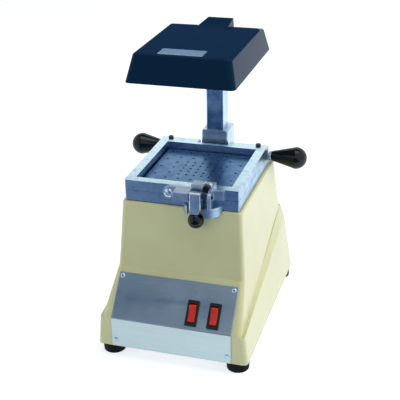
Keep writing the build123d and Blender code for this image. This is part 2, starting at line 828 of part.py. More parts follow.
with BuildPart() as post_bolts:
    socket_half = post_half + socket_wall
    for z in socket_bolt_levels:
        rod_along_x(-socket_half - 4, socket_half, post_y, z, socket_bolt_radius)
        rod_along_x(socket_half, socket_half + 3.5, post_y, z, 4.6)
        with BuildSketch(Plane.YZ.offset(-socket_half - 4)):
            with Locations((post_y, z)):
                RegularPolygon(4.6, 6)
        extrude(amount=4)
    for sx in (-1, 1):
        for sy in (-1, 1):
            x = sx * socket_screw_grid[0] / 2
            y = post_y + sy * socket_screw_grid[1] / 2
            rod_along_z(x, y, foot_height, foot_height + base_thick + socket_flange_thick, 1.85)
            rod_along_z(x, y, foot_height - 2, foot_height, 3.5)
post_bolts.part.label = "post_bolts"
export_step(post_bolts.part, "parts/post_bolts.step")

with BuildPart() as post_cap:
    inner = 2 * (post_half - post_wall - 0.05)
    with BuildSketch(Plane.XY.offset(post_top - 20)):
        with Locations((0, post_y)):
            RectangleRounded(inner, inner, 0.8)
    extrude(amount=20)
    with BuildSketch(Plane.XY.offset(post_top)):
        with Locations((0, post_y)):
            RectangleRounded(2 * post_half, 2 * post_half, 1.6)
    extrude(amount=2)
    rod_along_z(0, post_y, post_top + 2, head_bottom + spigot_up, spigot_radius)
    rod_along_z(0, post_y, post_top - 20, head_bottom + spigot_up + 1, lead_radius + 1.2, Mode.SUBTRACT)
    with Locations((0, post_y, head_bottom + spigot_up - 2.1)):
        ring_cut = 1.2
        Cylinder(spigot_radius + 1, ring_cut, mode=Mode.SUBTRACT)
        Cylinder(spigot_radius - 0.8, ring_cut)
        Cylinder(lead_radius + 1.2, ring_cut, mode=Mode.SUBTRACT)
post_cap.part.label = "post_cap"
export_step(post_cap.part, "parts/post_cap.step")

with BuildPart() as heater_lead:
    rod_along_z(0, post_y, post_bottom + lead_up, head_top - head_wall - 3.2, lead_radius)
heater_lead.part.label = "heater_lead"
export_step(heater_lead.part, "parts/heater_lead.step")

with BuildPart() as cord_gland:
    for start, amount, radius in (
        (-12, 12, gland_radius),
        (0, 3.6, gland_radius + 3),
        (3.6, 4, gland_radius - 1),
    ):
        with BuildSketch(back_face.offset(start)):
            with Locations((gland_x, gland_up)):
                Circle(radius)
        extrude(amount=amount)
    with BuildSketch(back_face.offset(-14)):
        with Locations((gland_x, gland_up)):
            Circle(3.6)
    extrude(amount=30, mode=Mode.SUBTRACT)
cord_gland.part.label = "cord_gland"
export_step(cord_gland.part, "parts/cord_gland.step")

# ---------------------------------------------------------------- slide collar and handles
with BuildPart() as slide_collar:
    loft([section(z, collar_half_width - draw, collar_front + draw / 4, collar_back - draw, 2.5, 2.5)
          for z, draw in ((lower_frame_bottom, 0), (collar_top, collar_draft))], ruled=True)
    chamfer(slide_collar.faces().sort_by(Axis.Z)[-1].edges(), 1.2)
    for sx in (-1, 1):
        low, high = sorted((sx * (collar_half_width - 4), sx * (collar_half_width + 6)))
        rod_along_x(low, high, post_y, handle_z, handle_boss_radius)
    bore = post_half + slide_gap
    with BuildSketch(Plane.XY.offset(lower_frame_bottom)):
        with Locations((0, post_y)):
            RectangleRounded(2 * bore, 2 * bore, 1.5)
    extrude(amount=collar_top - lower_frame_bottom, mode=Mode.SUBTRACT)
    for sx in (-1, 1):
        low, high = sorted((sx * (post_half + slide_gap), sx * (collar_half_width + 10)))
        rod_along_x(low, high, post_y, handle_z, rod_radius + 0.02, Mode.SUBTRACT)
        rod_along_y(sx * frame_bolt_x, collar_front - 1, collar_front + frame_bolt_grip + 0.5, frame_bolt_z,
                    frame_bolt_radius + 0.02, Mode.SUBTRACT)
    rod_along_y(0, post_y, collar_back + 1, friction_screw_z, 3.02, Mode.SUBTRACT)
slide_collar.part.label = "slide_collar"
export_step(slide_collar.part, "parts/slide_collar.step")

with BuildPart() as friction_screw:
    rod_along_y(0, post_y + post_half + 0.15, collar_back + 2.4, friction_screw_z, 3.0)
    with BuildSketch(Plane.XZ.offset(-collar_back)):
        with Locations((0, friction_screw_z)):
            RegularPolygon(5.8, 6)
    extrude(amount=-4.2)
friction_screw.part.label = "friction_screw"
export_step(friction_screw.part, "parts/friction_screw.step")

for sx, side in ((-1, "left"), (1, "right")):
    with BuildPart() as handle_rod:
        low, high = sorted((sx * (post_half + 0.6), sx * (handle_neck_x + handle_bore)))
        rod_along_x(low, high, post_y, handle_z, rod_radius)
    handle_rod.part.label = f"handle_rod_{side}"
    export_step(handle_rod.part, f"parts/handle_rod_{side}.step")

    with BuildPart() as ferrule:
        low, high = sorted((sx * (handle_neck_x - ferrule_length), sx * handle_neck_x))
        rod_along_x(low, high, post_y, handle_z, ferrule_radius)
        chamfer(ferrule.edges(), 0.5)
        rod_along_x(low - 1, high + 1, post_y, handle_z, rod_radius + 0.02, Mode.SUBTRACT)
    ferrule.part.label = f"handle_ferrule_{side}"
    export_step(ferrule.part, f"parts/handle_ferrule_{side}.step")

    with BuildPart() as handle:
        reach = handle_end_x - handle_max_x
        dome_radius = (reach**2 + handle_max_radius**2) / (2 * reach)
        dome_centre = handle_end_x - dome_radius
        dome_half = math.atan2(handle_max_radius, handle_max_x - dome_centre) / 2
        end_middle = (
            dome_centre + dome_radius * math.cos(dome_half),
            dome_radius * math.sin(dome_half),
        )
        with BuildSketch(Plane(origin=(0, post_y, handle_z), x_dir=(sx, 0, 0), z_dir=(0, -sx, 0))):
            with BuildLine():
                Polyline((handle_neck_x, 0), (handle_neck_x, handle_neck_radius),
                         (handle_max_x, handle_max_radius))
                ThreePointArc((handle_max_x, handle_max_radius), end_middle, (handle_end_x, 0))
                Line((handle_end_x, 0), (handle_neck_x, 0))
            make_face()
        revolve(axis=Axis((0, post_y, handle_z), (1, 0, 0)))
        low, high = sorted((sx * (handle_neck_x - 1), sx * (handle_neck_x + handle_bore + 0.3)))
        rod_along_x(low, high, post_y, handle_z, rod_radius + 0.02, Mode.SUBTRACT)
    handle.part.label = f"handle_{side}"
    export_step(handle.part, f"parts/handle_{side}.step")

# ---------------------------------------------------------------- clamping frames
with BuildPart() as lower_frame:
    frame_rear = hinge_y + hinge_round
    with BuildSketch(Plane.XY.offset(lower_frame_bottom)):
        with Locations((0, (frame_front + frame_rear) / 2)):
            RectangleRounded(2 * frame_half_width, frame_rear - frame_front, frame_corner)
        with Locations((0, window_y)):
            Rectangle(2 * window_half, 2 * window_half, mode=Mode.SUBTRACT)
        with Locations((0, collar_front + 10)):
            Rectangle(2 * collar_notch_half, 20, mode=Mode.SUBTRACT)
    extrude(amount=lower_frame_top - lower_frame_bottom)
    # groove that the sheet seal lies in
    with BuildSketch(window_level(lower_frame_top)):
        Rectangle(2 * (seal_inner_half + seal_width), 2 * (seal_inner_half + seal_width))
        Rectangle(2 * seal_inner_half, 2 * seal_inner_half, mode=Mode.SUBTRACT)
    extrude(amount=-seal_depth, mode=Mode.SUBTRACT)
    for sx in (-1, 1):
        block(sx * lug_x - lug_thick / 2, sx * lug_x + lug_thick / 2, hinge_y - lug_radius,
              hinge_y + lug_radius, lower_frame_bottom + lug_seat, lower_frame_top + 1, Mode.SUBTRACT)
        rod_along_y(sx * frame_bolt_x, window_back - 1, collar_front + 1, frame_bolt_z,
                    frame_bolt_radius + 0.1, Mode.SUBTRACT)
        rod_along_y(sx * frame_bolt_x, window_back - 1, window_back + 2.6, frame_bolt_z,
                    frame_bolt_head + 0.1, Mode.SUBTRACT)
    for x in keeper_screw_x:
        rod_along_y(x, frame_front - 1, frame_front + front_rail + 1, keeper_screw_z,
                    keeper_screw_radius + 0.1, Mode.SUBTRACT)
        rod_along_y(x, frame_front + front_rail - 3, frame_front + front_rail + 1, keeper_screw_z,
                    2 * keeper_screw_radius + 0.1, Mode.SUBTRACT)
lower_frame.part.label = "lower_frame"
export_step(lower_frame.part, "parts/lower_frame.step")

with BuildPart() as frame_seal:
    with BuildSketch(window_level(lower_frame_top - seal_depth)):
        Rectangle(2 * (seal_inner_half + seal_width), 2 * (seal_inner_half + seal_width))
        Rectangle(2 * seal_inner_half, 2 * seal_inner_half, mode=Mode.SUBTRACT)
    extrude(amount=seal_depth + 0.1)
frame_seal.part.label = "frame_seal"
export_step(frame_seal.part, "parts/frame_seal.step")

with BuildPart() as frame_bolts:
    for sx in (-1, 1):
        rod_along_y(sx * frame_bolt_x, window_back + 2.6, collar_front + frame_bolt_grip, frame_bolt_z,
                    frame_bolt_radius)
        rod_along_y(sx * frame_bolt_x, window_back + 0.1, window_back + 2.6, frame_bolt_z, frame_bolt_head)
        with BuildSketch(Plane.XZ.offset(-window_back - 0.1)):
            with Locations((sx * frame_bolt_x, frame_bolt_z)):
                RegularPolygon(2.0, 6)
        extrude(amount=-1.6, mode=Mode.SUBTRACT)
frame_bolts.part.label = "frame_bolts"
export_step(frame_bolts.part, "parts/frame_bolts.step")

with BuildPart() as hinge_lugs:
    for sx in (-1, 1):
        with BuildSketch(Plane.YZ.offset(sx * lug_x - lug_thick / 2)):
            with Locations((hinge_y, pivot_hinge_z)):
                Circle(lug_radius)
                stem = pivot_hinge_z - lower_frame_bottom - lug_seat
                Rectangle(2 * lug_radius, stem, align=(Align.CENTER, Align.MAX))
        extrude(amount=lug_thick)
        rod_along_x(sx * lug_x - 10, sx * lug_x + 10, hinge_y, pivot_hinge_z,
                    hinge_pin_radius + 0.01, Mode.SUBTRACT)
hinge_lugs.part.label = "hinge_lugs"
export_step(hinge_lugs.part, "parts/hinge_lugs.step")

with BuildPart() as hinge_pins:
    for sx in (-1, 1):
        rod_along_x(sx * lug_x - pin_reach, sx * lug_x + pin_reach, hinge_y, pivot_hinge_z, hinge_pin_radius)
hinge_pins.part.label = "hinge_pins"
export_step(hinge_pins.part, "parts/hinge_pins.step")

with BuildPart() as upper_frame:
    with BuildSketch(Plane.XY.offset(upper_frame_bottom)):
        with Locations((0, (upper_front + hinge_y) / 2)):
            Rectangle(2 * frame_half_width, hinge_y - upper_front)
    extrude(amount=upper_frame_top - upper_frame_bottom)
    fillet(upper_frame.edges().filter_by(Axis.Z).group_by(Axis.Y)[0], frame_corner)
    rod_along_x(-frame_half_width, frame_half_width, hinge_y, pivot_hinge_z, hinge_round)
    with BuildSketch(Plane.XY.offset(upper_frame_bottom - 1)):
        with Locations((0, window_y)):
            Rectangle(2 * window_half, 2 * window_half)
        with Locations((0, upper_notch_front + 15)):
            Rectangle(2 * collar_notch_half, 30)
    extrude(amount=20, mode=Mode.SUBTRACT)
    # pockets, closed above, in which the lugs stand while the frame turns about the pins
    for sx in (-1, 1):
        half = lug_radius + lug_gap
        with BuildSketch(Plane.YZ.offset(sx * lug_x - lug_thick / 2 - lug_gap)):
            with Locations((hinge_y, pivot_hinge_z)):
                Circle(half)
                for turn in range(0, frame_opening + 1, 15):
                    Rectangle(2 * half, 3 * half, rotation=turn, align=(Align.CENTER, Align.MAX))
        extrude(amount=lug_thick + 2 * lug_gap, mode=Mode.SUBTRACT)
        reach = pin_reach + 0.3
        rod_along_x(sx * lug_x - reach, sx * lug_x + reach, hinge_y, pivot_hinge_z,
                    hinge_pin_radius + running_clearance, Mode.SUBTRACT)
        rod_along_z(sx * level_screw_x, level_screw_y, upper_frame_bottom - 1, upper_frame_top + 1,
                    2.05, Mode.SUBTRACT)
    rod_along_y(slotted_screw_x, upper_front - 1, upper_front + 8, slotted_screw_z, 2.6, Mode.SUBTRACT)
upper_frame.part.label = "upper_frame"
export_step(upper_frame.part, "parts/upper_frame.step")

with BuildPart() as level_screws:
    for sx in (-1, 1):
        rod_along_z(sx * level_screw_x, level_screw_y, upper_frame_bottom, upper_frame_top, 2.0)
        rod_along_z(sx * level_screw_x, level_screw_y, upper_frame_top, upper_frame_top + 2.4,
                    level_screw_head)
        with BuildSketch(Plane.XY.offset(upper_frame_top + 2.4)):
            with Locations((sx * level_screw_x, level_screw_y)):
                RegularPolygon(1.7, 6)
        extrude(amount=-1.5, mode=Mode.SUBTRACT)
level_screws.part.label = "level_screws"
export_step(level_screws.part, "parts/level_screws.step")

# ---------------------------------------------------------------- front clamp
plate_front = upper_front - bracket_plate
lever_left = lever_x - lever_top_width / 2
lever_right = lever_x + lever_top_width / 2
ear_x = lever_right + ear_gap
ear_radius = lever_eye + 0.6
with BuildPart() as clamp_bracket:
    # plate on the upper frame's front, with a round end under the slotted screw
    block(slotted_screw_x, bracket_right, plate_front, upper_front, upper_frame_bottom + 0.9, upper_frame_top)
    rod_along_y(slotted_screw_x, plate_front, upper_front, slotted_screw_z, slotted_screw_radius + 1.1)
    # arm whose end carries the pivot pin
    block(slotted_screw_x + 9, lever_left - side_gap, lever_y - 5.2, plate_front,
          upper_frame_bottom + 1.5, upper_frame_top - 0.4)
    # saddle over the top of the front rail
    block(lever_left - side_gap, ear_x + ear_thick, plate_front, upper_front + 7.5,
          upper_frame_top, upper_frame_top + 5.4)
    # boss that the black screw sits on
    rod_along_y(cap_screw_x, plate_front - cap_boss, upper_front, cap_screw_z,
                cap_screw_radius + cap_screw_rim)
    # right ear for the pivot pin
    block(ear_x, ear_x + ear_thick, lever_y, plate_front, upper_frame_bottom + 0.9, upper_frame_top + 3.4)
    block(ear_x, ear_x + ear_thick, lever_y - ear_radius, lever_y + ear_radius - 2, pivot_z - ear_drop,
          pivot_z)
    rod_along_x(ear_x, ear_x + ear_thick, lever_y, pivot_z, ear_radius)
    rod_along_x(lever_left - 9, ear_x + 10, lever_y, pivot_z, clamp_pin_radius + running_clearance,
                Mode.SUBTRACT)
    rod_along_y(slotted_screw_x, plate_front - 1, upper_front + 1, slotted_screw_z, 2.7, Mode.SUBTRACT)
    rod_along_y(cap_screw_x, plate_front - 6, upper_front - 1, cap_screw_z, 2.2, Mode.SUBTRACT)
clamp_bracket.part.label = "clamp_bracket"
export_step(clamp_bracket.part, "parts/clamp_bracket.step")

with BuildPart() as slotted_screw:
    rod_along_y(slotted_screw_x, plate_front - 3.4, plate_front, slotted_screw_z, slotted_screw_radius)
    fillet(slotted_screw.edges().sort_by(Axis.Y)[0], 1.4)
    rod_along_y(slotted_screw_x, plate_front, upper_front + 7.5, slotted_screw_z, 2.55)
    with Locations(Location((slotted_screw_x, plate_front - 3.4, slotted_screw_z), (0, 24, 0))):
        Box(16, 2.8, 1.7, mode=Mode.SUBTRACT)
slotted_screw.part.label = "slotted_screw"
export_step(slotted_screw.part, "parts/slotted_screw.step")

with BuildPart() as cap_screw:
    boss_front = plate_front - cap_boss
    rod_along_y(cap_screw_x, boss_front - cap_screw_head, boss_front, cap_screw_z, cap_screw_radius)
    rod_along_y(cap_screw_x, boss_front, upper_front - 1.2, cap_screw_z, 2.15)
    with BuildSketch(Plane.XZ.offset(cap_screw_head - boss_front)):
        with Locations((cap_screw_x, cap_screw_z)):
            RegularPolygon(2.3, 6)
    extrude(amount=-2.0, mode=Mode.SUBTRACT)
cap_screw.part.label = "cap_screw"
export_step(cap_screw.part, "parts/cap_screw.step")

with BuildPart() as clamp_pin:
    rod_along_x(lever_left - 8, ear_x + ear_thick + 1.2, lever_y, pivot_z, clamp_pin_radius)
clamp_pin.part.label = "clamp_pin"
export_step(clamp_pin.part, "parts/clamp_pin.step")

with BuildPart() as clamp_keeper:
    # bow-fronted catch whose slot takes the lever, hung in front of the housing's top edge
    bow_radius = (keeper_half**2 + keeper_reach**2) / (2 * keeper_reach)
    with BuildSketch(Plane.XY.offset(keeper_bottom)):
        with Locations((keeper_x, frame_front - keeper_reach + bow_radius)):
            Circle(bow_radius)
        with Locations((keeper_x, frame_front + 2 * bow_radius)):
            Rectangle(6 * bow_radius, 4 * bow_radius, mode=Mode.SUBTRACT)
        with Locations((lever_x, frame_front - keeper_back)):
            Rectangle(2 * keeper_slot_half, 2 * keeper_reach, align=(Align.CENTER, Align.MAX),
                      mode=Mode.SUBTRACT)
    extrude(amount=keeper_height)
    block(keeper_x - keeper_half - 1, keeper_x + keeper_half + 1, top_front - 2, frame_front + 1,
          keeper_bottom - 1, lower_frame_bottom, Mode.SUBTRACT)
    for x in keeper_screw_x:
        rod_along_y(x, frame_front - keeper_screw_grip - 0.5, frame_front + 1, keeper_screw_z,
                    keeper_screw_radius + running_clearance, Mode.SUBTRACT)
clamp_keeper.part.label = "clamp_keeper"
export_step(clamp_keeper.part, "parts/clamp_keeper.step")

with BuildPart() as keeper_screws:
    # put in from the window, so that their heads lie in the back of the front rail
    window_front = frame_front + front_rail
    for x in keeper_screw_x:
        rod_along_y(x, frame_front - keeper_screw_grip, window_front - 0.2, keeper_screw_z,
                    keeper_screw_radius)
        rod_along_y(x, window_front - 3, window_front - 0.2, keeper_screw_z, 2 * keeper_screw_radius)
keeper_screws.part.label = "keeper_screws"
export_step(keeper_screws.part, "parts/keeper_screws.step")

with BuildPart() as clamp_lever:
    with BuildSketch(Plane.XZ.offset(-lever_y - lever_thick / 2)):
        with BuildLine():
            half_top = lever_top_width / 2
            half_low = lever_bottom_width / 2
            Polyline((lever_x - half_low + 1.5, lever_bottom_z), (lever_x - half_low, lever_bottom_z + 2),
                     (lever_x - half_top, lever_bottom_z + 9), (lever_x - half_top, pivot_z + lever_eye),
                     (lever_x + half_top, pivot_z + lever_eye), (lever_x + half_top, lever_bottom_z + 9),
                     (lever_x + half_low, lever_bottom_z + 2), (lever_x + half_low - 1.5, lever_bottom_z),
                     (lever_x - half_low + 1.5, lever_bottom_z))
        make_face()
    extrude(amount=lever_thick)
    front_uprights = clamp_lever.edges().filter_by(Axis.Z).group_by(Axis.Y)[0]
    fillet(front_uprights, lever_round)
    # round eye about the pin, so that the lever turns clear of the plate behind it
    with BuildSketch(Plane.YZ.offset(lever_x - 20)):
        with Locations((lever_y, pivot_z)):
            Rectangle(40, 40, align=(Align.CENTER, Align.MIN))
            Circle(lever_eye, mode=Mode.SUBTRACT)
    extrude(amount=40, mode=Mode.SUBTRACT)
    rod_along_x(lever_x - 20, lever_x + 20, lever_y, pivot_z, clamp_pin_radius + running_clearance,
                Mode.SUBTRACT)
    # threaded end that the ball screws on
    rod_along_z(lever_x, lever_y, lever_bottom_z - ball_radius, lever_bottom_z + 1, 2.4)
clamp_lever.part.label = "clamp_lever"
export_step(clamp_lever.part, "parts/clamp_lever.step")

with BuildPart() as ball_knob:
    ball_z = lever_bottom_z - ball_radius + ball_sink
    with Locations((lever_x, lever_y, ball_z)):
        Sphere(ball_radius)
    block(lever_x - 12, lever_x + 12, lever_y - 12, lever_y + 12, lever_bottom_z, lever_bottom_z + 4,
          Mode.SUBTRACT)
    rod_along_z(lever_x, lever_y, lever_bottom_z - ball_radius - 0.3, lever_bottom_z + 1, 2.42, Mode.SUBTRACT)
ball_knob.part.label = "ball_knob"
export_step(ball_knob.part, "parts/ball_knob.step")

# ---------------------------------------------------------------- heater head
slope_angle = math.atan2(head_slope_drop, head_top_back - head_slope_start)
head_slope = Plane(
    origin=(0, head_slope_start, head_top),
    x_dir=(1, 0, 0),
    z_dir=(0, math.sin(slope_angle), math.cos(slope_angle)),
)


def head_sections(wall):
    """Foot and top of the heater's cover, drawn in by the wall."""
    radius = head_corner - 0.5 * wall
    low_half = head_bottom_half_width - wall
    high_half = head_top_half_width - wall
    return [
        section(head_bottom, low_half, head_bottom_front + wall, head_bottom_back - wall, radius, radius),
        section(head_top - wall, high_half, head_top_front + wall, head_top_back - wall, radius, radius),
    ]


with BuildPart() as head_inside:
    loft(head_sections(head_wall), ruled=True)
    split(bisect_by=head_slope.offset(-head_wall), keep=Keep.BOTTOM)

def hump_body(wall):
    """The raised cover over the pivot, which fades out towards the front, drawn in by the wall."""
    root_z = head_top - 4.0
    lean = math.atan2(hump_height + 4.0, hump_left - hump_left_foot)
    shift = wall / math.sin(lean)
    crown = Plane(origin=(0, hump_back - 8, head_top + hump_height - wall), x_dir=(1, 0, 0),
                  z_dir=(0, -math.sin(hump_ramp), math.cos(hump_ramp)))
    with BuildPart() as body:
        with BuildSketch(Plane.XZ.offset(wall - hump_back)):
            Polygon(
                (hump_left_foot + shift, root_z),
                (hump_left + shift, head_top + hump_height),
                (hump_right - wall, head_top + hump_height),
                (hump_right + 0.8 - wall, root_z),
                align=None,
            )
        extrude(amount=hump_run + 14)
        split(bisect_by=crown, keep=Keep.BOTTOM)
        if wall == 0:
            crown_face = body.faces().sort_by(Axis((0, 0, 0), crown.z_dir))[-1]
            fillet(crown_face.edges().sort_by(Axis.Y)[1:], hump_round)
    return body.part


hump_outside = hump_body(0)
hump_inside = hump_body(head_wall)

with BuildPart() as heater_cover:
    loft(head_sections(0), ruled=True)
    split(bisect_by=head_slope, keep=Keep.BOTTOM)
    top_edges = heater_cover.edges().filter_by(lambda e: e.center().Z > head_top - head_slope_drop - 1)
    ridge = top_edges.filter_by(Axis.X).sort_by_distance((0, head_slope_start, head_top))[0]
    fillet([edge for edge in top_edges if edge != ridge], head_round)
    add(hump_outside)
    add(hump_inside, mode=Mode.SUBTRACT)
    add(head_inside.part, mode=Mode.SUBTRACT)
heater_cover.part.label = "heater_cover"
export_step(heater_cover.part, "parts/heater_cover.step")

hub_bottom = post_top + 2 + washer_thick
plate_z = head_bottom + bracket_up
stud_places = [(sx * stud_x, post_y - ahead) for sx in (-1, 1) for ahead in studs_ahead_of_post]
with BuildPart() as head_bracket:
    with BuildSketch(Plane.XY.offset(plate_z)):
        with Locations((0, post_y + bracket_behind_post - bracket_length / 2)):
            RectangleRounded(bracket_width, bracket_length, 8)
    extrude(amount=bracket_thick)
    rod_along_z(0, post_y, hub_bottom, plate_z + 1, spigot_radius + 3)
    rod_along_z(0, post_y, hub_bottom - 1, plate_z + 4, spigot_radius + running_clearance, Mode.SUBTRACT)
    block(-40, 40, post_y + 8.6, post_y + 40, hub_bottom + 14, plate_z + 4, Mode.SUBTRACT)
    with Locations(*[(x, y, plate_z) for x, y in stud_places]):
        Cylinder(stud_radius + 0.1, 10, mode=Mode.SUBTRACT)
head_bracket.part.label = "head_bracket"
export_step(head_bracket.part, "parts/head_bracket.step")

with BuildPart() as swivel_washer:
    rod_along_z(0, post_y, post_top + 2, hub_bottom, 10.5)
    rod_along_z(0, post_y, post_top + 1, hub_bottom + 1, spigot_radius + running_clearance, Mode.SUBTRACT)
swivel_washer.part.label = "swivel_washer"
export_step(swivel_washer.part, "parts/swivel_washer.step")

with BuildPart() as retaining_ring:
    low = head_bottom + spigot_up - 2.65
    rod_along_z(0, post_y, low, low + 1.1, spigot_radius + 1.4)
    rod_along_z(0, post_y, low - 1, low + 2, 7.3, Mode.SUBTRACT)
    block(-2.2, 2.2, post_y, post_y + 12, low - 1, low + 2, Mode.SUBTRACT)
retaining_ring.part.label = "retaining_ring"
export_step(retaining_ring.part, "parts/retaining_ring.step")

with BuildPart() as head_studs:
    for x, y in stud_places:
        rod_along_z(x, y, plate_z - 4.6, head_top - head_wall, stud_radius)
head_studs.part.label = "head_studs"
export_step(head_studs.part, "parts/head_studs.step")

with BuildPart() as head_nuts:
    with BuildSketch(Plane.XY.offset(plate_z - 4.4)):
        with Locations(*stud_places):
            RegularPolygon(5.4, 6)
            Circle(stud_radius + 0.02, mode=Mode.SUBTRACT)
    extrude(amount=3.4)
head_nuts.part.label = "head_nuts"
export_step(head_nuts.part, "parts/head_nuts.step")

pan_half_width = head_bottom_half_width - pan_inset
pan_front = head_bottom_front + pan_front_inset
pan_back = pan_front + pan_length
pan_bottom = head_bottom + pan_up
with BuildPart() as heater_reflector:
    with BuildSketch(Plane.XY.offset(pan_bottom)):
        with Locations((0, (pan_front + pan_back) / 2)):
            RectangleRounded(2 * pan_half_width, pan_back - pan_front, 4)
    extrude(amount=plate_z - pan_bottom)
    with BuildSketch(Plane.XY.offset(pan_bottom)):
        with Locations((0, (pan_front + pan_back) / 2)):
            RectangleRounded(2 * (pan_half_width - pan_sheet), pan_back - pan_front - 2 * pan_sheet, 3)
    extrude(amount=plate_z - pan_bottom - pan_sheet, mode=Mode.SUBTRACT)
    with Locations(*[(x, y, plate_z) for x, y in stud_places]):
        Cylinder(stud_radius + 0.1, 10, mode=Mode.SUBTRACT)
heater_reflector.part.label = "heater_reflector"
export_step(heater_reflector.part, "parts/heater_reflector.step")

middle_y = (pan_front + pan_back) / 2
run_y = [middle_y + element_pitch * (i - (element_runs - 1) / 2) for i in range(element_runs)]
with BuildPart() as heating_element:
    with BuildLine() as element_path:
        turns = []
        for i, y in enumerate(run_y):
            side = 1 if i % 2 else -1
            turns += [(side * element_half_run, y, element_z), (-side * element_half_run, y, element_z)]
        FilletPolyline(*turns, radius=element_pitch / 2 - 0.1)
    with BuildSketch(Plane(origin=element_path.line @ 0, z_dir=element_path.line % 0)):
        Circle(element_radius)
    sweep()
heating_element.part.label = "heating_element"
export_step(heating_element.part, "parts/heating_element.step")

with BuildPart() as element_insulators:
    for x in (-insulator_x, insulator_x):
        block(x - 4, x + 4, run_y[0] - 7, run_y[-1] + 7, element_z, plate_z - pan_sheet)
        for y in run_y:
            rod_along_x(x - 6, x + 6, y, element_z, element_radius + 0.2, Mode.SUBTRACT)
element_insulators.part.label = "element_insulators"
export_step(element_insulators.part, "parts/element_insulators.step")

with BuildPart() as heater_guard:
    guard_z = pan_bottom - guard_bar
    with BuildSketch(Plane.XY.offset(guard_z)):
        with Locations((0, middle_y)):
            RectangleRounded(2 * pan_half_width, pan_back - pan_front, 4)
            Rectangle(2 * pan_half_width - 8, pan_back - pan_front - 8, mode=Mode.SUBTRACT)
            with GridLocations(guard_pitch, 0, 8, 1):
                Rectangle(guard_bar, pan_back - pan_front - 4)
            with GridLocations(0, 30, 1, 4):
                Rectangle(2 * pan_half_width - 4, guard_bar)
    extrude(amount=guard_bar)
heater_guard.part.label = "heater_guard"
export_step(heater_guard.part, "parts/heater_guard.step")

with BuildPart() as blank_plate:
    with BuildSketch(Plane.XY.offset(head_top)):
        with Locations((plate_x, head_top_front + plate_inset)):
            RectangleRounded(plate_width, plate_depth, 0.8)
    extrude(amount=plate_thick)
blank_plate.part.label = "blank_plate"
export_step(blank_plate.part, "parts/blank_plate.step")

print("parts written:", len(os.listdir("parts")))
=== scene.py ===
import json
import math

import bmesh
import bpy
from mathutils import Matrix, Vector


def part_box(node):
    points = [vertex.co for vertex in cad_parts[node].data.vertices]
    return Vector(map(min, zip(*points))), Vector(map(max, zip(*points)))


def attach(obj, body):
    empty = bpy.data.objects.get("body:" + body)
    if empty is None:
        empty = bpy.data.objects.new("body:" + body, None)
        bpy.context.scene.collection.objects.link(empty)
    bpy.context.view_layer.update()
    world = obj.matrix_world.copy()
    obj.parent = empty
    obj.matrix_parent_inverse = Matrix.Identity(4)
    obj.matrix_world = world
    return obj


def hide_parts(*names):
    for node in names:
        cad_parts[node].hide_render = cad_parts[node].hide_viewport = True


bl_info = {
    "name": "Dental Vacuum Former",
    "version": (1, 0, 0),
    "blender": (4, 5, 0),
    "location": "3D View > Sidebar > Vacuum Former",
    "description": "Dresses a benchtop dental vacuum former: enamel, metal, plastic and rubber",
    "category": "Object",
}

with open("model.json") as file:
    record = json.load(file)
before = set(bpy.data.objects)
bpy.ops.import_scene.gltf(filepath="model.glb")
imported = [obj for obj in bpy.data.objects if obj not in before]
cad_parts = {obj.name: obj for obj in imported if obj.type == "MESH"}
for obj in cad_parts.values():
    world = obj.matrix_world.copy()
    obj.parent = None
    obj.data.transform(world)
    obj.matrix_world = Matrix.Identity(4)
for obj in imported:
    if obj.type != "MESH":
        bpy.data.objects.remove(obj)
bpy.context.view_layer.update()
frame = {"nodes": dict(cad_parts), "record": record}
NODES = frame["nodes"]
BODY_OF = {node: body for body, nodes in frame["record"]["behaviour"]["bodies"].items() for node in nodes}


# ------------------------------------------------------------------ small helpers
def srgb(hex_colour):
    """An sRGB hex colour as linear red, green, blue and a full alpha."""
    parts = [int(hex_colour[i:i + 2], 16) / 255 for i in (0, 2, 4)]
    return (*(c / 12.92 if c <= 0.04045 else ((c + 0.055) / 1.055) ** 2.4 for c in parts), 1.0)


def add(tree, kind, settings=None, links=None):
    """Adds one node to a tree, with its settings and the links into it."""
    node = tree.nodes.new(kind)
    for key, value in (settings or {}).items():
        if isinstance(key, str) and hasattr(node, key):
            setattr(node, key, value)
        else:
            node.inputs[key].default_value = value
    for key, source in (links or {}).items():
        tree.links.new(source, node.inputs[key])
    return node


def per_mm(size_mm):
    """The scale that makes one wave of a pattern size_mm long in coordinates of metres."""
    return 1000.0 / size_mm


def settings():
    """The sizes and colours that a user may change."""
    return bpy.context.scene.vacuum_former


def start_material(name, **constants):
    """A node material with its shader, the constants on the shader's own sockets, and object coordinates."""
    material = bpy.data.materials.new(name)
    material.use_nodes = True
    tree = material.node_tree
    tree.nodes.clear()
    shader = add(tree, "ShaderNodeBsdfPrincipled")
    for socket, value in constants.items():
        shader.inputs[socket.replace("_", " ")].default_value = value
    add(tree, "ShaderNodeOutputMaterial", links={"Surface": shader.outputs["BSDF"]})
    where = add(tree, "ShaderNodeTexCoord").outputs["Object"]
    return material, tree, shader, where


def dress(tree, shader, tints, tint_by, roughness, rough_by):
    """Tints a shader between two hex colours by one pattern, and sets its roughness by another."""
    tint = add(tree, "ShaderNodeMix", {"data_type": "RGBA", 6: srgb(tints[0]), 7: srgb(tints[1])},
               {0: tint_by})
    tree.links.new(tint.outputs[2], shader.inputs["Base Color"])
    rough = add(tree, "ShaderNodeMapRange",
                {"From Min": 0.3, "From Max": 0.7, "To Min": roughness[0], "To Max": roughness[1]},
                {"Value": rough_by})
    tree.links.new(rough.outputs["Result"], shader.inputs["Roughness"])


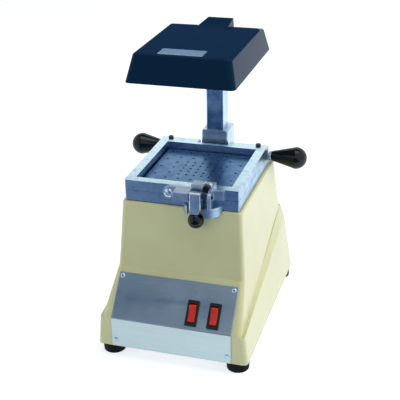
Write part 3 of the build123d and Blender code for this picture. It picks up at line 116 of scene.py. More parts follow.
# ------------------------------------------------------------------ materials
def baked_enamel():
    """Cream stoving enamel, sprayed and baked: gloss, with a faint orange peel and a slow drift of tint."""
    material, tree, shader, where = start_material(
        "baked_enamel_cream", IOR=1.5, Coat_Weight=0.6, Coat_Roughness=0.14)
    cloud = add(tree, "ShaderNodeTexNoise", {"Scale": per_mm(80), "Detail": 4.0}, {"Vector": where})
    drift = add(tree, "ShaderNodeMapRange", {"From Min": 0.3, "From Max": 0.7},
                {"Value": cloud.outputs["Fac"]})
    tint = add(tree, "ShaderNodeMix", {"data_type": "RGBA", 6: srgb("d3d29c"), 7: srgb("dcdcab")},
               {0: drift.outputs["Result"]})
    # dust that hands leave settles in specks of about 3 mm
    speck = add(tree, "ShaderNodeTexNoise", {"Scale": per_mm(3), "Detail": 6.0, "Roughness": 0.7},
                {"Vector": where})
    dust = add(tree, "ShaderNodeMapRange", {"From Min": 0.60, "From Max": 0.80, "To Max": 0.22},
               {"Value": speck.outputs["Fac"]})
    dusty = add(tree, "ShaderNodeMix", {"data_type": "RGBA", 7: srgb("b4ae84")},
                {0: dust.outputs["Result"], 6: tint.outputs[2]})
    tree.links.new(dusty.outputs[2], shader.inputs["Base Color"])
    rough = add(tree, "ShaderNodeMapRange",
                {"From Min": 0.3, "From Max": 0.7, "To Min": 0.34, "To Max": 0.46},
                {"Value": speck.outputs["Fac"]})
    tree.links.new(rough.outputs["Result"], shader.inputs["Roughness"])
    # the peel's real 0.6 mm waves are drawn at 1.6 mm so that they show
    peel = add(tree, "ShaderNodeTexNoise", {"Scale": per_mm(1.6), "Detail": 2.0}, {"Vector": where})
    dimple = add(tree, "ShaderNodeBump", {"Strength": 0.5, "Distance": 0.00002},
                 {"Height": peel.outputs["Fac"]})
    tree.links.new(dimple.outputs["Normal"], shader.inputs["Normal"])
    return material


def black_enamel():
    """Black stoving enamel: gloss, with a slight peel and a little dust; its blue-black is painted in, a
    painted blue window reflection in its colours and specular tint.
    """
    # the specular tint is blue: a painted blue reflection
    material, tree, shader, where = start_material(
        "stoving_enamel_black", IOR=1.5, Specular_IOR_Level=0.07, Specular_Tint=srgb("7ab6f4"))
    speck = add(tree, "ShaderNodeTexNoise", {"Scale": per_mm(2.2), "Detail": 6.0, "Roughness": 0.7},
                {"Vector": where})
    dust = add(tree, "ShaderNodeMapRange", {"From Min": 0.56, "From Max": 0.74, "To Max": 0.3},
               {"Value": speck.outputs["Fac"]})
    # both tints are blue, a painted blue reflection on the black; the lighter one also marks dust
    tint = add(tree, "ShaderNodeMix", {"data_type": "RGBA", 6: srgb("0f2a42"), 7: srgb("24486c")},
               {0: dust.outputs["Result"]})
    tree.links.new(tint.outputs[2], shader.inputs["Base Color"])
    cloud = add(tree, "ShaderNodeTexNoise", {"Scale": per_mm(22), "Detail": 5.0}, {"Vector": where})
    rough = add(tree, "ShaderNodeMapRange",
                {"From Min": 0.3, "From Max": 0.7, "To Min": 0.07, "To Max": 0.14},
                {"Value": cloud.outputs["Fac"]})
    tree.links.new(rough.outputs["Result"], shader.inputs["Roughness"])
    # the peel's real 0.6 mm waves are drawn at 1.5 mm so that they show
    peel = add(tree, "ShaderNodeTexNoise", {"Scale": per_mm(1.5), "Detail": 2.0}, {"Vector": where})
    dimple = add(tree, "ShaderNodeBump", {"Strength": 0.12, "Distance": 0.00002},
                 {"Height": peel.outputs["Fac"]})
    tree.links.new(dimple.outputs["Normal"], shader.inputs["Normal"])
    return material


def brushed_aluminium():
    """Brushed aluminium sheet, brushed along the panel: hairlines spread its highlight up and down."""
    material, tree, shader, where = start_material("brushed_aluminium_sheet", Metallic=1.0, Anisotropic=0.4)
    # hairlines of 0.05 mm are drawn 0.45 mm wide so that they show
    stretch = add(tree, "ShaderNodeMapping", {"Scale": (per_mm(54), per_mm(0.45), per_mm(0.45))},
                  {"Vector": where})
    lines = add(tree, "ShaderNodeTexNoise", {"Scale": 1.0, "Detail": 4.0, "Roughness": 0.7},
                {"Vector": stretch.outputs["Vector"]})
    streak = add(tree, "ShaderNodeMapRange", {"From Min": 0.3, "From Max": 0.7},
                 {"Value": lines.outputs["Fac"]})
    tint = add(tree, "ShaderNodeMix", {"data_type": "RGBA", 6: srgb("a2b6bc"), 7: srgb("bacbce")},
               {0: streak.outputs["Result"]})
    # finger marks of about 12 mm leave a warmer, duller patch
    touch = add(tree, "ShaderNodeTexNoise", {"Scale": per_mm(12), "Detail": 5.0, "Roughness": 0.65},
                {"Vector": where})
    mark = add(tree, "ShaderNodeMapRange", {"From Min": 0.6, "From Max": 0.8, "To Max": 0.2},
               {"Value": touch.outputs["Fac"]})
    marked = add(tree, "ShaderNodeMix", {"data_type": "RGBA", 7: srgb("a9bac6")},
                 {0: mark.outputs["Result"], 6: tint.outputs[2]})
    tree.links.new(marked.outputs[2], shader.inputs["Base Color"])
    rough = add(tree, "ShaderNodeMapRange",
                {"From Min": 0.3, "From Max": 0.8, "To Min": 0.27, "To Max": 0.33},
                {"Value": touch.outputs["Fac"]})
    tree.links.new(rough.outputs["Result"], shader.inputs["Roughness"])
    scratch = add(tree, "ShaderNodeBump", {"Strength": 0.5, "Distance": 0.000012},
                  {"Height": lines.outputs["Fac"]})
    tree.links.new(scratch.outputs["Normal"], shader.inputs["Normal"])
    return material


def milled_aluminium():
    """Milled aluminium: cutter lines across the bar and scuffs where the sheets' edges slide over it."""
    material, tree, shader, where = start_material("milled_aluminium", Metallic=1.0)
    # cutter marks of 0.2 mm are drawn 0.8 mm wide so that they show
    stretch = add(tree, "ShaderNodeMapping", {"Scale": (per_mm(40), per_mm(0.8), per_mm(40))},
                  {"Vector": where})
    cutter = add(tree, "ShaderNodeTexNoise", {"Scale": 1.0, "Detail": 3.0, "Roughness": 0.6},
                 {"Vector": stretch.outputs["Vector"]})
    patch = add(tree, "ShaderNodeTexNoise", {"Scale": per_mm(9), "Detail": 8.0, "Roughness": 0.72},
                {"Vector": where})
    scuff = add(tree, "ShaderNodeMapRange", {"From Min": 0.5, "From Max": 0.68},
                {"Value": patch.outputs["Fac"]})
    dress(tree, shader, ("d2effb", "b2d6ea"), scuff.outputs["Result"],
          (0.17, 0.32), patch.outputs["Fac"])
    groove = add(tree, "ShaderNodeBump", {"Strength": 0.4, "Distance": 0.00001},
                 {"Height": cutter.outputs["Fac"]})
    tree.links.new(groove.outputs["Normal"], shader.inputs["Normal"])
    return material


def aluminium_painted_shade():
    """Darker copy of the aluminium, streaked along its length, with small dings: painted shade for the faces
    that turn away from the light.
    """
    material, tree, shader, where = start_material("aluminium_bar_painted_shade", Metallic=1.0)
    # die lines of 0.1 mm are drawn 0.9 mm wide so that they show
    stretch = add(tree, "ShaderNodeMapping", {"Scale": (per_mm(60), per_mm(60), per_mm(0.9))},
                  {"Vector": where})
    die = add(tree, "ShaderNodeTexNoise", {"Scale": 1.0, "Detail": 4.0, "Roughness": 0.65},
              {"Vector": stretch.outputs["Vector"]})
    patch = add(tree, "ShaderNodeTexNoise", {"Scale": per_mm(14), "Detail": 7.0, "Roughness": 0.7},
                {"Vector": where})
    streak = add(tree, "ShaderNodeMapRange", {"From Min": 0.3, "From Max": 0.7},
                 {"Value": die.outputs["Fac"]})
    cloud = add(tree, "ShaderNodeMapRange", {"From Min": 0.42, "From Max": 0.66},
                {"Value": patch.outputs["Fac"]})
    # both tints are darker than the milled aluminium's: painted shade
    tint = add(tree, "ShaderNodeMix", {"data_type": "RGBA", 6: srgb("9dbcd8"), 7: srgb("b9d2e8")},
               {0: streak.outputs["Result"]})
    stained = add(tree, "ShaderNodeMix", {"data_type": "RGBA", 7: srgb("86a5c4")},
                  {0: cloud.outputs["Result"], 6: tint.outputs[2]})
    tree.links.new(stained.outputs[2], shader.inputs["Base Color"])
    rough = add(tree, "ShaderNodeMapRange", {"From Min": 0.3, "From Max": 0.7, "To Min": 0.26, "To Max": 0.4},
                {"Value": patch.outputs["Fac"]})
    tree.links.new(rough.outputs["Result"], shader.inputs["Roughness"])
    groove = add(tree, "ShaderNodeBump", {"Strength": 0.4, "Distance": 0.00001},
                 {"Height": die.outputs["Fac"]})
    tree.links.new(groove.outputs["Normal"], shader.inputs["Normal"])
    return material


def perforated_plate():
    """Machined platform top: darker than the frames, heat-stained, smooth enough to mirror the post."""
    material, tree, shader, where = start_material("machined_platform_aluminium", Metallic=1.0)
    patch = add(tree, "ShaderNodeTexNoise",
                {"Scale": per_mm(16), "Detail": 8.0, "Roughness": 0.7, "Distortion": 1.2},
                {"Vector": where})
    stain = add(tree, "ShaderNodeMapRange", {"From Min": 0.4, "From Max": 0.65},
                {"Value": patch.outputs["Fac"]})
    dress(tree, shader, ("5583ac", "436f9a"), stain.outputs["Result"],
          (0.2, 0.32), patch.outputs["Fac"])
    # turning marks of 0.2 mm are drawn 1 mm apart so that they show
    swirl = add(tree, "ShaderNodeTexWave",
                {"wave_type": "RINGS", "rings_direction": "Z", "Scale": per_mm(6.3), "Distortion": 0.6,
                 "Detail": 2.0}, {"Vector": where})
    groove = add(tree, "ShaderNodeBump", {"Strength": 0.25, "Distance": 0.00001},
                 {"Height": swirl.outputs["Fac"]})
    tree.links.new(groove.outputs["Normal"], shader.inputs["Normal"])
    return material


def cast_aluminium():
    """Cast aluminium, tumbled: soft satin with a fine grain and darker pores."""
    material, tree, shader, where = start_material("cast_aluminium_tumbled", Metallic=1.0)
    # the real 0.3 mm grain is drawn at 0.9 mm so that it shows
    grain = add(tree, "ShaderNodeTexNoise", {"Scale": per_mm(0.9), "Detail": 4.0, "Roughness": 0.7},
                {"Vector": where})
    patch = add(tree, "ShaderNodeTexNoise", {"Scale": per_mm(11), "Detail": 5.0}, {"Vector": where})
    cloud = add(tree, "ShaderNodeMapRange", {"From Min": 0.35, "From Max": 0.65},
                {"Value": patch.outputs["Fac"]})
    dress(tree, shader, ("b3c9de", "cfdfee"), cloud.outputs["Result"],
          (0.28, 0.42), grain.outputs["Fac"])
    pore = add(tree, "ShaderNodeBump", {"Strength": 0.5, "Distance": 0.000015},
               {"Height": grain.outputs["Fac"]})
    tree.links.new(pore.outputs["Normal"], shader.inputs["Normal"])
    return material


def plated_steel():
    """Nickel-plated steel tube: near mirror, clouded by hands, with drawn lines down its length."""
    material, tree, shader, where = start_material("nickel_plated_steel", Metallic=1.0)
    # drawing lines of 0.1 mm are drawn 0.7 mm wide so that they show
    stretch = add(tree, "ShaderNodeMapping", {"Scale": (per_mm(0.7), per_mm(0.7), per_mm(63))},
                  {"Vector": where})
    lines = add(tree, "ShaderNodeTexNoise", {"Scale": 1.0, "Detail": 3.0, "Roughness": 0.6},
                {"Vector": stretch.outputs["Vector"]})
    patch = add(tree, "ShaderNodeTexNoise", {"Scale": per_mm(18), "Detail": 6.0, "Roughness": 0.6},
                {"Vector": where})
    cloud = add(tree, "ShaderNodeMapRange", {"From Min": 0.4, "From Max": 0.65},
                {"Value": patch.outputs["Fac"]})
    dress(tree, shader, ("a8c6e2", "c4dcf2"), cloud.outputs["Result"],
          (0.14, 0.26), patch.outputs["Fac"])
    groove = add(tree, "ShaderNodeBump", {"Strength": 0.3, "Distance": 0.000004},
                 {"Height": lines.outputs["Fac"]})
    tree.links.new(groove.outputs["Normal"], shader.inputs["Normal"])
    return material


def polished_steel():
    """Polished screw heads and ferrules: bright under a slight haze, with fine buffing marks."""
    material, tree, shader, where = start_material("polished_plated_steel", Metallic=0.8)
    # buffing marks of 0.1 mm are drawn 0.5 mm wide so that they show
    buff = add(tree, "ShaderNodeTexNoise", {"Scale": per_mm(0.5), "Detail": 3.0}, {"Vector": where})
    mark = add(tree, "ShaderNodeMapRange", {"From Min": 0.3, "From Max": 0.7},
               {"Value": buff.outputs["Fac"]})
    dress(tree, shader, ("a9c4da", "cfe2ef"), mark.outputs["Result"],
          (0.12, 0.22), buff.outputs["Fac"])
    return material


def zinc_steel():
    """Zinc-plated steel: dull silver with a crystal bloom."""
    material, tree, shader, where = start_material("zinc_plated_steel", Metallic=1.0)
    bloom = add(tree, "ShaderNodeTexVoronoi", {"Scale": per_mm(3.0), "Detail": 1.0},
                {"Vector": where})
    haze = add(tree, "ShaderNodeTexNoise", {"Scale": per_mm(5), "Detail": 5.0, "Roughness": 0.7},
               {"Vector": where})
    dress(tree, shader, ("8b97a2", "abb6bf"), bloom.outputs["Distance"],
          (0.32, 0.5), haze.outputs["Fac"])
    return material


def blued_steel():
    """Blued spring steel: dark slate with a faint purple drift."""
    material, tree, shader, where = start_material("blued_spring_steel", Metallic=1.0)
    haze = add(tree, "ShaderNodeTexNoise", {"Scale": per_mm(4), "Detail": 5.0}, {"Vector": where})
    dress(tree, shader, ("3c4656", "54506a"), haze.outputs["Fac"], (0.28, 0.4), haze.outputs["Fac"])
    return material


def black_oxide_steel():
    """Black-oxide steel: dark, oiled and half gloss, greyer on its worn corners."""
    material, tree, shader, where = start_material("black_oxide_steel", IOR=1.6, Specular_IOR_Level=0.3)
    grain = add(tree, "ShaderNodeTexNoise", {"Scale": per_mm(0.8), "Detail": 4.0, "Roughness": 0.7},
                {"Vector": where})
    dress(tree, shader, ("080d12", "18222c"), grain.outputs["Fac"],
          (0.3, 0.45), grain.outputs["Fac"])
    pit = add(tree, "ShaderNodeBump", {"Strength": 0.3, "Distance": 0.00001},
              {"Height": grain.outputs["Fac"]})
    tree.links.new(pit.outputs["Normal"], shader.inputs["Normal"])
    return material


def phenolic_black():
    """Compression-moulded phenolic: deep black and glossy, a little duller where hands hold it."""
    material, tree, shader, where = start_material("moulded_phenolic_black", IOR=1.6, Specular_IOR_Level=0.22)
    hand = add(tree, "ShaderNodeTexNoise", {"Scale": per_mm(9), "Detail": 5.0, "Roughness": 0.6},
               {"Vector": where})
    dress(tree, shader, ("03080c", "0b151b"), hand.outputs["Fac"],
          (0.08, 0.18), hand.outputs["Fac"])
    # flow marks of the moulding, about 3 mm long
    flow = add(tree, "ShaderNodeTexNoise", {"Scale": per_mm(3), "Detail": 2.0}, {"Vector": where})
    wave = add(tree, "ShaderNodeBump", {"Strength": 0.25, "Distance": 0.00001},
               {"Height": flow.outputs["Fac"]})
    tree.links.new(wave.outputs["Normal"], shader.inputs["Normal"])
    return material


def nylon_black():
    """Moulded nylon: black with a fine spark texture."""
    material, tree, shader, where = start_material("moulded_nylon_black", IOR=1.53, Specular_IOR_Level=0.3)
    # the mould's 0.2 mm spark texture is drawn at 0.7 mm so that it shows
    grain = add(tree, "ShaderNodeTexNoise", {"Scale": per_mm(0.7), "Detail": 3.0, "Roughness": 0.6},
                {"Vector": where})
    dress(tree, shader, ("0b0f12", "191f24"), grain.outputs["Fac"],
          (0.34, 0.5), grain.outputs["Fac"])
    spark = add(tree, "ShaderNodeBump", {"Strength": 0.4, "Distance": 0.000015},
                {"Height": grain.outputs["Fac"]})
    tree.links.new(spark.outputs["Normal"], shader.inputs["Normal"])
    return material


def rocker_red():
    """Tinted polycarbonate rocker: clear orange-red with a soft inner glow."""
    material, tree, shader, where = start_material(
        "tinted_polycarbonate_red", IOR=1.585, Subsurface_Weight=0.25, Subsurface_Scale=0.002,
        Coat_Weight=0.25, Coat_Roughness=0.08)
    depth = add(tree, "ShaderNodeTexNoise", {"Scale": per_mm(4), "Detail": 3.0}, {"Vector": where})
    dress(tree, shader, ("cc1c06", "ec4218"), depth.outputs["Fac"],
          (0.12, 0.2), depth.outputs["Fac"])
    return material


def rubber_black():
    """Moulded rubber: matte black with a dry bloom."""
    material, tree, shader, where = start_material("moulded_rubber_black", IOR=1.52, Specular_IOR_Level=0.12)
    bloom = add(tree, "ShaderNodeTexNoise", {"Scale": per_mm(4), "Detail": 5.0, "Roughness": 0.7},
                {"Vector": where})
    dress(tree, shader, ("03090b", "0c1518"), bloom.outputs["Fac"],
          (0.55, 0.75), bloom.outputs["Fac"])
    # the mould's 0.3 mm grain is drawn at 0.8 mm so that it shows
    grain = add(tree, "ShaderNodeTexNoise", {"Scale": per_mm(0.8), "Detail": 3.0},
                {"Vector": where})
    pit = add(tree, "ShaderNodeBump", {"Strength": 0.5, "Distance": 0.00002},
              {"Height": grain.outputs["Fac"]})
    tree.links.new(pit.outputs["Normal"], shader.inputs["Normal"])
    return material


def seal_rubber():
    """Silicone sheet: soft warm grey and matte, with lint on it."""
    material, tree, shader, where = start_material("silicone_rubber_grey", IOR=1.41)
    grain = add(tree, "ShaderNodeTexNoise", {"Scale": per_mm(1.5), "Detail": 4.0},
                {"Vector": where})
    dress(tree, shader, ("57534f", "726d68"), grain.outputs["Fac"],
          (0.5, 0.65), grain.outputs["Fac"])
    return material


def motor_paint():
    """Grey paint over the motor's and the fan's pressed steel: even, half matte, a little oily."""
    material, tree, shader, where = start_material("sprayed_machine_paint_grey", IOR=1.5)
    grain = add(tree, "ShaderNodeTexNoise", {"Scale": per_mm(5), "Detail": 5.0}, {"Vector": where})
    dress(tree, shader, ("42464b", "54595f"), grain.outputs["Fac"],
          (0.4, 0.55), grain.outputs["Fac"])
    return material


def reflector_steel():
    """Bright steel reflector, tinted straw and blue by the heat over the element."""
    material, tree, shader, where = start_material("heat_tinted_steel", Metallic=1.0)
    heat = add(tree, "ShaderNodeTexNoise", {"Scale": per_mm(28), "Detail": 4.0}, {"Vector": where})
    spread = add(tree, "ShaderNodeMapRange", {"From Min": 0.35, "From Max": 0.65},
                 {"Value": heat.outputs["Fac"]})
    dress(tree, shader, ("b9bdc2", "b7a684"), spread.outputs["Result"],
          (0.22, 0.36), heat.outputs["Fac"])
    return material


def element_sheath():
    """Nickel-alloy heater sheath, oxidised to a dark brown grey with a rough scale."""
    material, tree, shader, where = start_material("oxidised_alloy_sheath", Metallic=0.6)
    scale = add(tree, "ShaderNodeTexNoise", {"Scale": per_mm(2.5), "Detail": 6.0, "Roughness": 0.7},
                {"Vector": where})
    spread = add(tree, "ShaderNodeMapRange", {"From Min": 0.35, "From Max": 0.65},
                 {"Value": scale.outputs["Fac"]})
    dress(tree, shader, ("2e2a28", "564b44"), spread.outputs["Result"],
          (0.45, 0.7), scale.outputs["Fac"])
    crust = add(tree, "ShaderNodeBump", {"Strength": 0.5, "Distance": 0.00003},
                {"Height": scale.outputs["Fac"]})
    tree.links.new(crust.outputs["Normal"], shader.inputs["Normal"])
    return material


def ceramic_white():
    """Unglazed pressed ceramic: chalky off-white, browned a little by the heat."""
    material, tree, shader, where = start_material("unglazed_ceramic_white", IOR=1.6)
    grain = add(tree, "ShaderNodeTexNoise", {"Scale": per_mm(1.2), "Detail": 5.0},
                {"Vector": where})
    dress(tree, shader, ("cfc6b2", "e2ddd0"), grain.outputs["Fac"],
          (0.6, 0.8), grain.outputs["Fac"])
    return material


def bare_plate():
    """Anodised aluminium plate with nothing on it: even pale satin silver, finely brushed."""
    material, tree, shader, where = start_material("anodised_aluminium_blank", Metallic=0.7)
    # hairlines of 0.05 mm are drawn 0.5 mm wide so that they show
    stretch = add(tree, "ShaderNodeMapping", {"Scale": (per_mm(45), per_mm(0.5), per_mm(0.5))},
                  {"Vector": where})
    lines = add(tree, "ShaderNodeTexNoise", {"Scale": 1.0, "Detail": 3.0, "Roughness": 0.6},
                {"Vector": stretch.outputs["Vector"]})
    dress(tree, shader, ("b4d6ea", "d6ecf8"), lines.outputs["Fac"],
          (0.32, 0.42), lines.outputs["Fac"])
    return material


def near_black_painted_shade():
    """Near black, half gloss, with a crusted tone: painted shade inside the drilled holes, round them and in
    the seam between the frames.
    """
    material, tree, shader, where = start_material("near_black_painted_shade_finish", IOR=1.5, Specular_IOR_Level=0.2)
    crust = add(tree, "ShaderNodeTexNoise", {"Scale": per_mm(0.8), "Detail": 4.0},
                {"Vector": where})
    dress(tree, shader, ("0a1522", "182a3c"), crust.outputs["Fac"],
          (0.45, 0.65), crust.outputs["Fac"])
    return material


MATERIALS = {}
FINISHES = {
    "cream_enamel": baked_enamel, "brushed_aluminium": brushed_aluminium, "satin_aluminium": milled_aluminium,
    "bright_steel": plated_steel, "zinc_steel": zinc_steel, "spring_steel": blued_steel,
    "black_steel": black_oxide_steel, "black_enamel": black_enamel, "black_knob_plastic": phenolic_black,
    "black_switch_plastic": nylon_black, "red_rocker_plastic": rocker_red, "black_rubber": rubber_black,
    "red_seal_rubber": seal_rubber, "motor_shell": motor_paint, "reflector_steel": reflector_steel,
    "sheathed_element": element_sheath, "white_ceramic": ceramic_white, "lead_insulation": rubber_black,
    "blank_plate_foil": bare_plate, "cast": cast_aluminium, "drawn": aluminium_painted_shade,
    "platform": perforated_plate, "polished": polished_steel, "painted_shade_dark": near_black_painted_shade,
}


def finish_of(slot_name):
    """The material of a slot, made once."""
    maker = FINISHES[slot_name]
    if maker.__name__ not in MATERIALS:
        MATERIALS[maker.__name__] = maker()
    return MATERIALS[maker.__name__]


SLOT_OF = {part["node"]: part["material_slot"] for part in frame["record"]["subparts"]}


# ------------------------------------------------------------------ dressing the nodes
def place(mesh, name, body, slot_name, finish=None):
    """Puts a finished mesh in the scene, on its body, in its material."""
    piece = bpy.data.objects.new(name, mesh)
    bpy.context.scene.collection.objects.link(piece)
    mesh.materials.clear()
    mesh.materials.append(finish_of(finish or slot_name))
    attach(piece, body)
    return piece


def eased(node, name, edge_mm, finish=None, shaded_sides=None, angle=28, segments=2):
    """A merged copy of a CAD node with its edges eased as the real piece's are, in the node's place."""
    mesh = NODES[node].data.copy()
    work = bmesh.new()
    work.from_mesh(mesh)
    bmesh.ops.remove_doubles(work, verts=work.verts, dist=1e-6)
    bmesh.ops.dissolve_limit(work, angle_limit=math.radians(0.8), verts=work.verts, edges=work.edges)
    work.to_mesh(mesh)
    work.free()
    mesh.name = name
    piece = place(mesh, name, BODY_OF[node], SLOT_OF[node], finish)
    for polygon in mesh.polygons:
        polygon.use_smooth = True
    if edge_mm:
        bevel = piece.modifiers.new("eased_edges", "BEVEL")
        bevel.width = edge_mm / 1000
        bevel.segments = segments
        bevel.limit_method = "ANGLE"
        bevel.angle_limit = math.radians(angle)
        bevel.use_clamp_overlap = True
        bevel.miter_outer = "MITER_ARC"
    mesh.set_sharp_from_angle(angle=math.radians(angle + 8))
    weighted = piece.modifiers.new("flat_faces_stay_flat", "WEIGHTED_NORMAL")
    weighted.keep_sharp = True
    weighted.weight = 100
    plain = bpy.data.meshes.new_from_object(piece.evaluated_get(bpy.context.evaluated_depsgraph_get()))
    piece.modifiers.clear()
    piece.data = plain
    # faces that don't face up take the second finish, a darker copy: painted shade on the sides turned from
    # the light
    if shaded_sides:
        plain.materials.append(finish_of(shaded_sides))
        for polygon in plain.polygons:
            polygon.material_index = 0 if polygon.normal.z > 0.6 else 1
    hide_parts(node)
    return piece


def paint(node, finish=None):
    """Gives a CAD node that is already the right shape its real material."""
    target = NODES[node]
    target.data.materials.clear()
    target.data.materials.append(finish_of(finish or SLOT_OF[node]))


def solids_of(node):
    """The middle of each solid of a CAD node, from left to right."""
    work = bmesh.new()
    work.from_mesh(NODES[node].data)
    bmesh.ops.remove_doubles(work, verts=work.verts, dist=1e-6)
    middles, seen = [], set()
    for start in work.verts:
        if start in seen:
            continue
        solid, edge = set(), [start]
        while edge:
            vertex = edge.pop()
            if vertex not in solid:
                solid.add(vertex)
                edge += [link.other_vert(vertex) for link in vertex.link_edges]
        seen |= solid
        spans = ([vertex.co[axis] for vertex in solid] for axis in range(3))
        middles.append(Vector([(min(span) + max(span)) / 2 for span in spans]))
    work.free()
    return sorted(middles, key=lambda middle: (round(middle.z, 3), middle.x))


def grown(name, places, tree, values, body, slot_name, finish=None):
    """Runs a geometry tree on points, each with its own turn, and puts the plain mesh on its body."""
    mesh = bpy.data.meshes.new(name)
    mesh.from_pydata([spot for spot, _ in places], [], [])
    turn = mesh.attributes.new("turn", "FLOAT_VECTOR", "POINT")
    for i, (_, rotation) in enumerate(places):
        turn.data[i].vector = rotation.to_euler()
    piece = bpy.data.objects.new(name, mesh)
    bpy.context.scene.collection.objects.link(piece)
    modifier = piece.modifiers.new(name, "NODES")
    modifier.node_group = tree
    for socket in tree.interface.items_tree:
        if socket.name in values:
            modifier[socket.identifier] = values[socket.name]
        elif socket.name == "Finish":
            modifier[socket.identifier] = finish_of(finish or slot_name)
    plain = bpy.data.meshes.new_from_object(piece.evaluated_get(bpy.context.evaluated_depsgraph_get()))
    bpy.data.objects.remove(piece)
    plain.name = name
    return place(plain, name, body, slot_name, finish)


def start_tree(name, sizes):
    """A geometry tree with the points coming in, its sizes as named inputs and its finish."""
    tree = bpy.data.node_groups.new(name, "GeometryNodeTree")
    tree.interface.new_socket(name="Points", in_out="INPUT", socket_type="NodeSocketGeometry")
    for size, value in sizes.items():
        socket = tree.interface.new_socket(name=size, in_out="INPUT", socket_type="NodeSocketFloat")
        socket.default_value = value
    tree.interface.new_socket(name="Finish", in_out="INPUT", socket_type="NodeSocketMaterial")
    tree.interface.new_socket(name="Mesh", in_out="OUTPUT", socket_type="NodeSocketGeometry")
    return tree, add(tree, "NodeGroupInput").outputs


def end_tree(tree, come, one):
    """Sets one shape on every point, turned as the point says, made real and given its finish."""
    turn = add(tree, "GeometryNodeInputNamedAttribute", {"data_type": "FLOAT_VECTOR", "Name": "turn"})
    many = add(tree, "GeometryNodeInstanceOnPoints",
               links={"Points": come["Points"], "Instance": one, "Rotation": turn.outputs["Attribute"]})
    real = add(tree, "GeometryNodeRealizeInstances", links={"Geometry": many.outputs[0]})
    dressed = add(tree, "GeometryNodeSetMaterial",
                  links={"Geometry": real.outputs[0], "Material": come["Finish"]})
    add(tree, "NodeGroupOutput", links={0: dressed.outputs[0]})
    return tree


def domed_head_tree():
    """A domed screw head with a cross recess or a slot, on each point."""
    tree, come = start_tree("domed_heads", {
        "Head Radius": 0.0032, "Head Height": 0.0015, "Recess Width": 0.0009, "Recess Length": 0.0036,
        "Cross Length": 0.0036})
    cone = add(tree, "GeometryNodeMeshCone", {"Vertices": 40, "Side Segments": 7, "fill_type": "NGON",
                                              "Radius Top": 0.0002},
               {"Radius Bottom": come["Head Radius"], "Depth": come["Head Height"]})
    # each ring of the cone is lifted on to a low dome: height times the root of one less radius squared
    at = add(tree, "ShaderNodeSeparateXYZ", links={0: add(tree, "GeometryNodeInputPosition").outputs[0]})
    flat = add(tree, "ShaderNodeCombineXYZ", links={"X": at.outputs["X"], "Y": at.outputs["Y"]})
    reach = add(tree, "ShaderNodeVectorMath", {"operation": "LENGTH"}, {0: flat.outputs[0]})
    share = add(tree, "ShaderNodeMath", {"operation": "DIVIDE"},
                {0: reach.outputs["Value"], 1: come["Head Radius"]})
    square = add(tree, "ShaderNodeMath", {"operation": "POWER", 1: 2.6}, {0: share.outputs[0]})
    rest = add(tree, "ShaderNodeMath", {"operation": "SUBTRACT", 0: 1.0, "use_clamp": True},
               {1: square.outputs[0]})
    root = add(tree, "ShaderNodeMath", {"operation": "SQRT"}, {0: rest.outputs[0]})
    rise = add(tree, "ShaderNodeMath", {"operation": "MULTIPLY"},
               {0: root.outputs[0], 1: come["Head Height"]})
    domed = add(tree, "ShaderNodeCombineXYZ",
                links={"X": at.outputs["X"], "Y": at.outputs["Y"], "Z": rise.outputs[0]})
    head = add(tree, "GeometryNodeSetPosition",
               links={"Geometry": cone.outputs["Mesh"], "Position": domed.outputs[0]})
    smooth = add(tree, "GeometryNodeSetShadeSmooth", links={"Geometry": head.outputs[0]})
    slot_size = add(tree, "ShaderNodeCombineXYZ",
                    links={"X": come["Recess Length"], "Y": come["Recess Width"], "Z": come["Head Height"]})
    slot = add(tree, "GeometryNodeMeshCube", links={"Size": slot_size.outputs[0]})
    lift = add(tree, "ShaderNodeCombineXYZ", links={"Z": come["Head Height"]})
    along = add(tree, "GeometryNodeTransform",
                links={"Geometry": slot.outputs[0], "Translation": lift.outputs[0]})
    cross_size = add(tree, "ShaderNodeCombineXYZ",
                     links={"X": come["Recess Width"], "Y": come["Cross Length"], "Z": come["Head Height"]})
    cross = add(tree, "GeometryNodeMeshCube", links={"Size": cross_size.outputs[0]})
    across = add(tree, "GeometryNodeTransform",
                 links={"Geometry": cross.outputs[0], "Translation": lift.outputs[0]})
    first = add(tree, "GeometryNodeMeshBoolean", {"operation": "DIFFERENCE", "solver": "EXACT"},
                {"Mesh 1": smooth.outputs[0], "Mesh 2": along.outputs[0]})
    second = add(tree, "GeometryNodeMeshBoolean", {"operation": "DIFFERENCE", "solver": "EXACT"},
                 {"Mesh 1": first.outputs[0], "Mesh 2": across.outputs[0]})
    return end_tree(tree, come, second.outputs[0])


def shade_ring_tree():
    """A thin dark ring round a drilled hole, on each point: painted shade that makes the hole read darker and
    wider.
    """
    tree, come = start_tree("perforation_shade_rings", {
        "Hole Radius": 0.00115, "Rim Width": 0.0004, "Rim Height": 0.00006})
    outer = add(tree, "ShaderNodeMath", {"operation": "ADD"},
                {0: come["Hole Radius"], 1: come["Rim Width"]})
    ring = add(tree, "GeometryNodeMeshCone", {"Vertices": 24, "fill_type": "NONE"},
               {"Radius Top": come["Hole Radius"], "Radius Bottom": outer.outputs[0],
                "Depth": come["Rim Height"]})
    return end_tree(tree, come, ring.outputs["Mesh"])


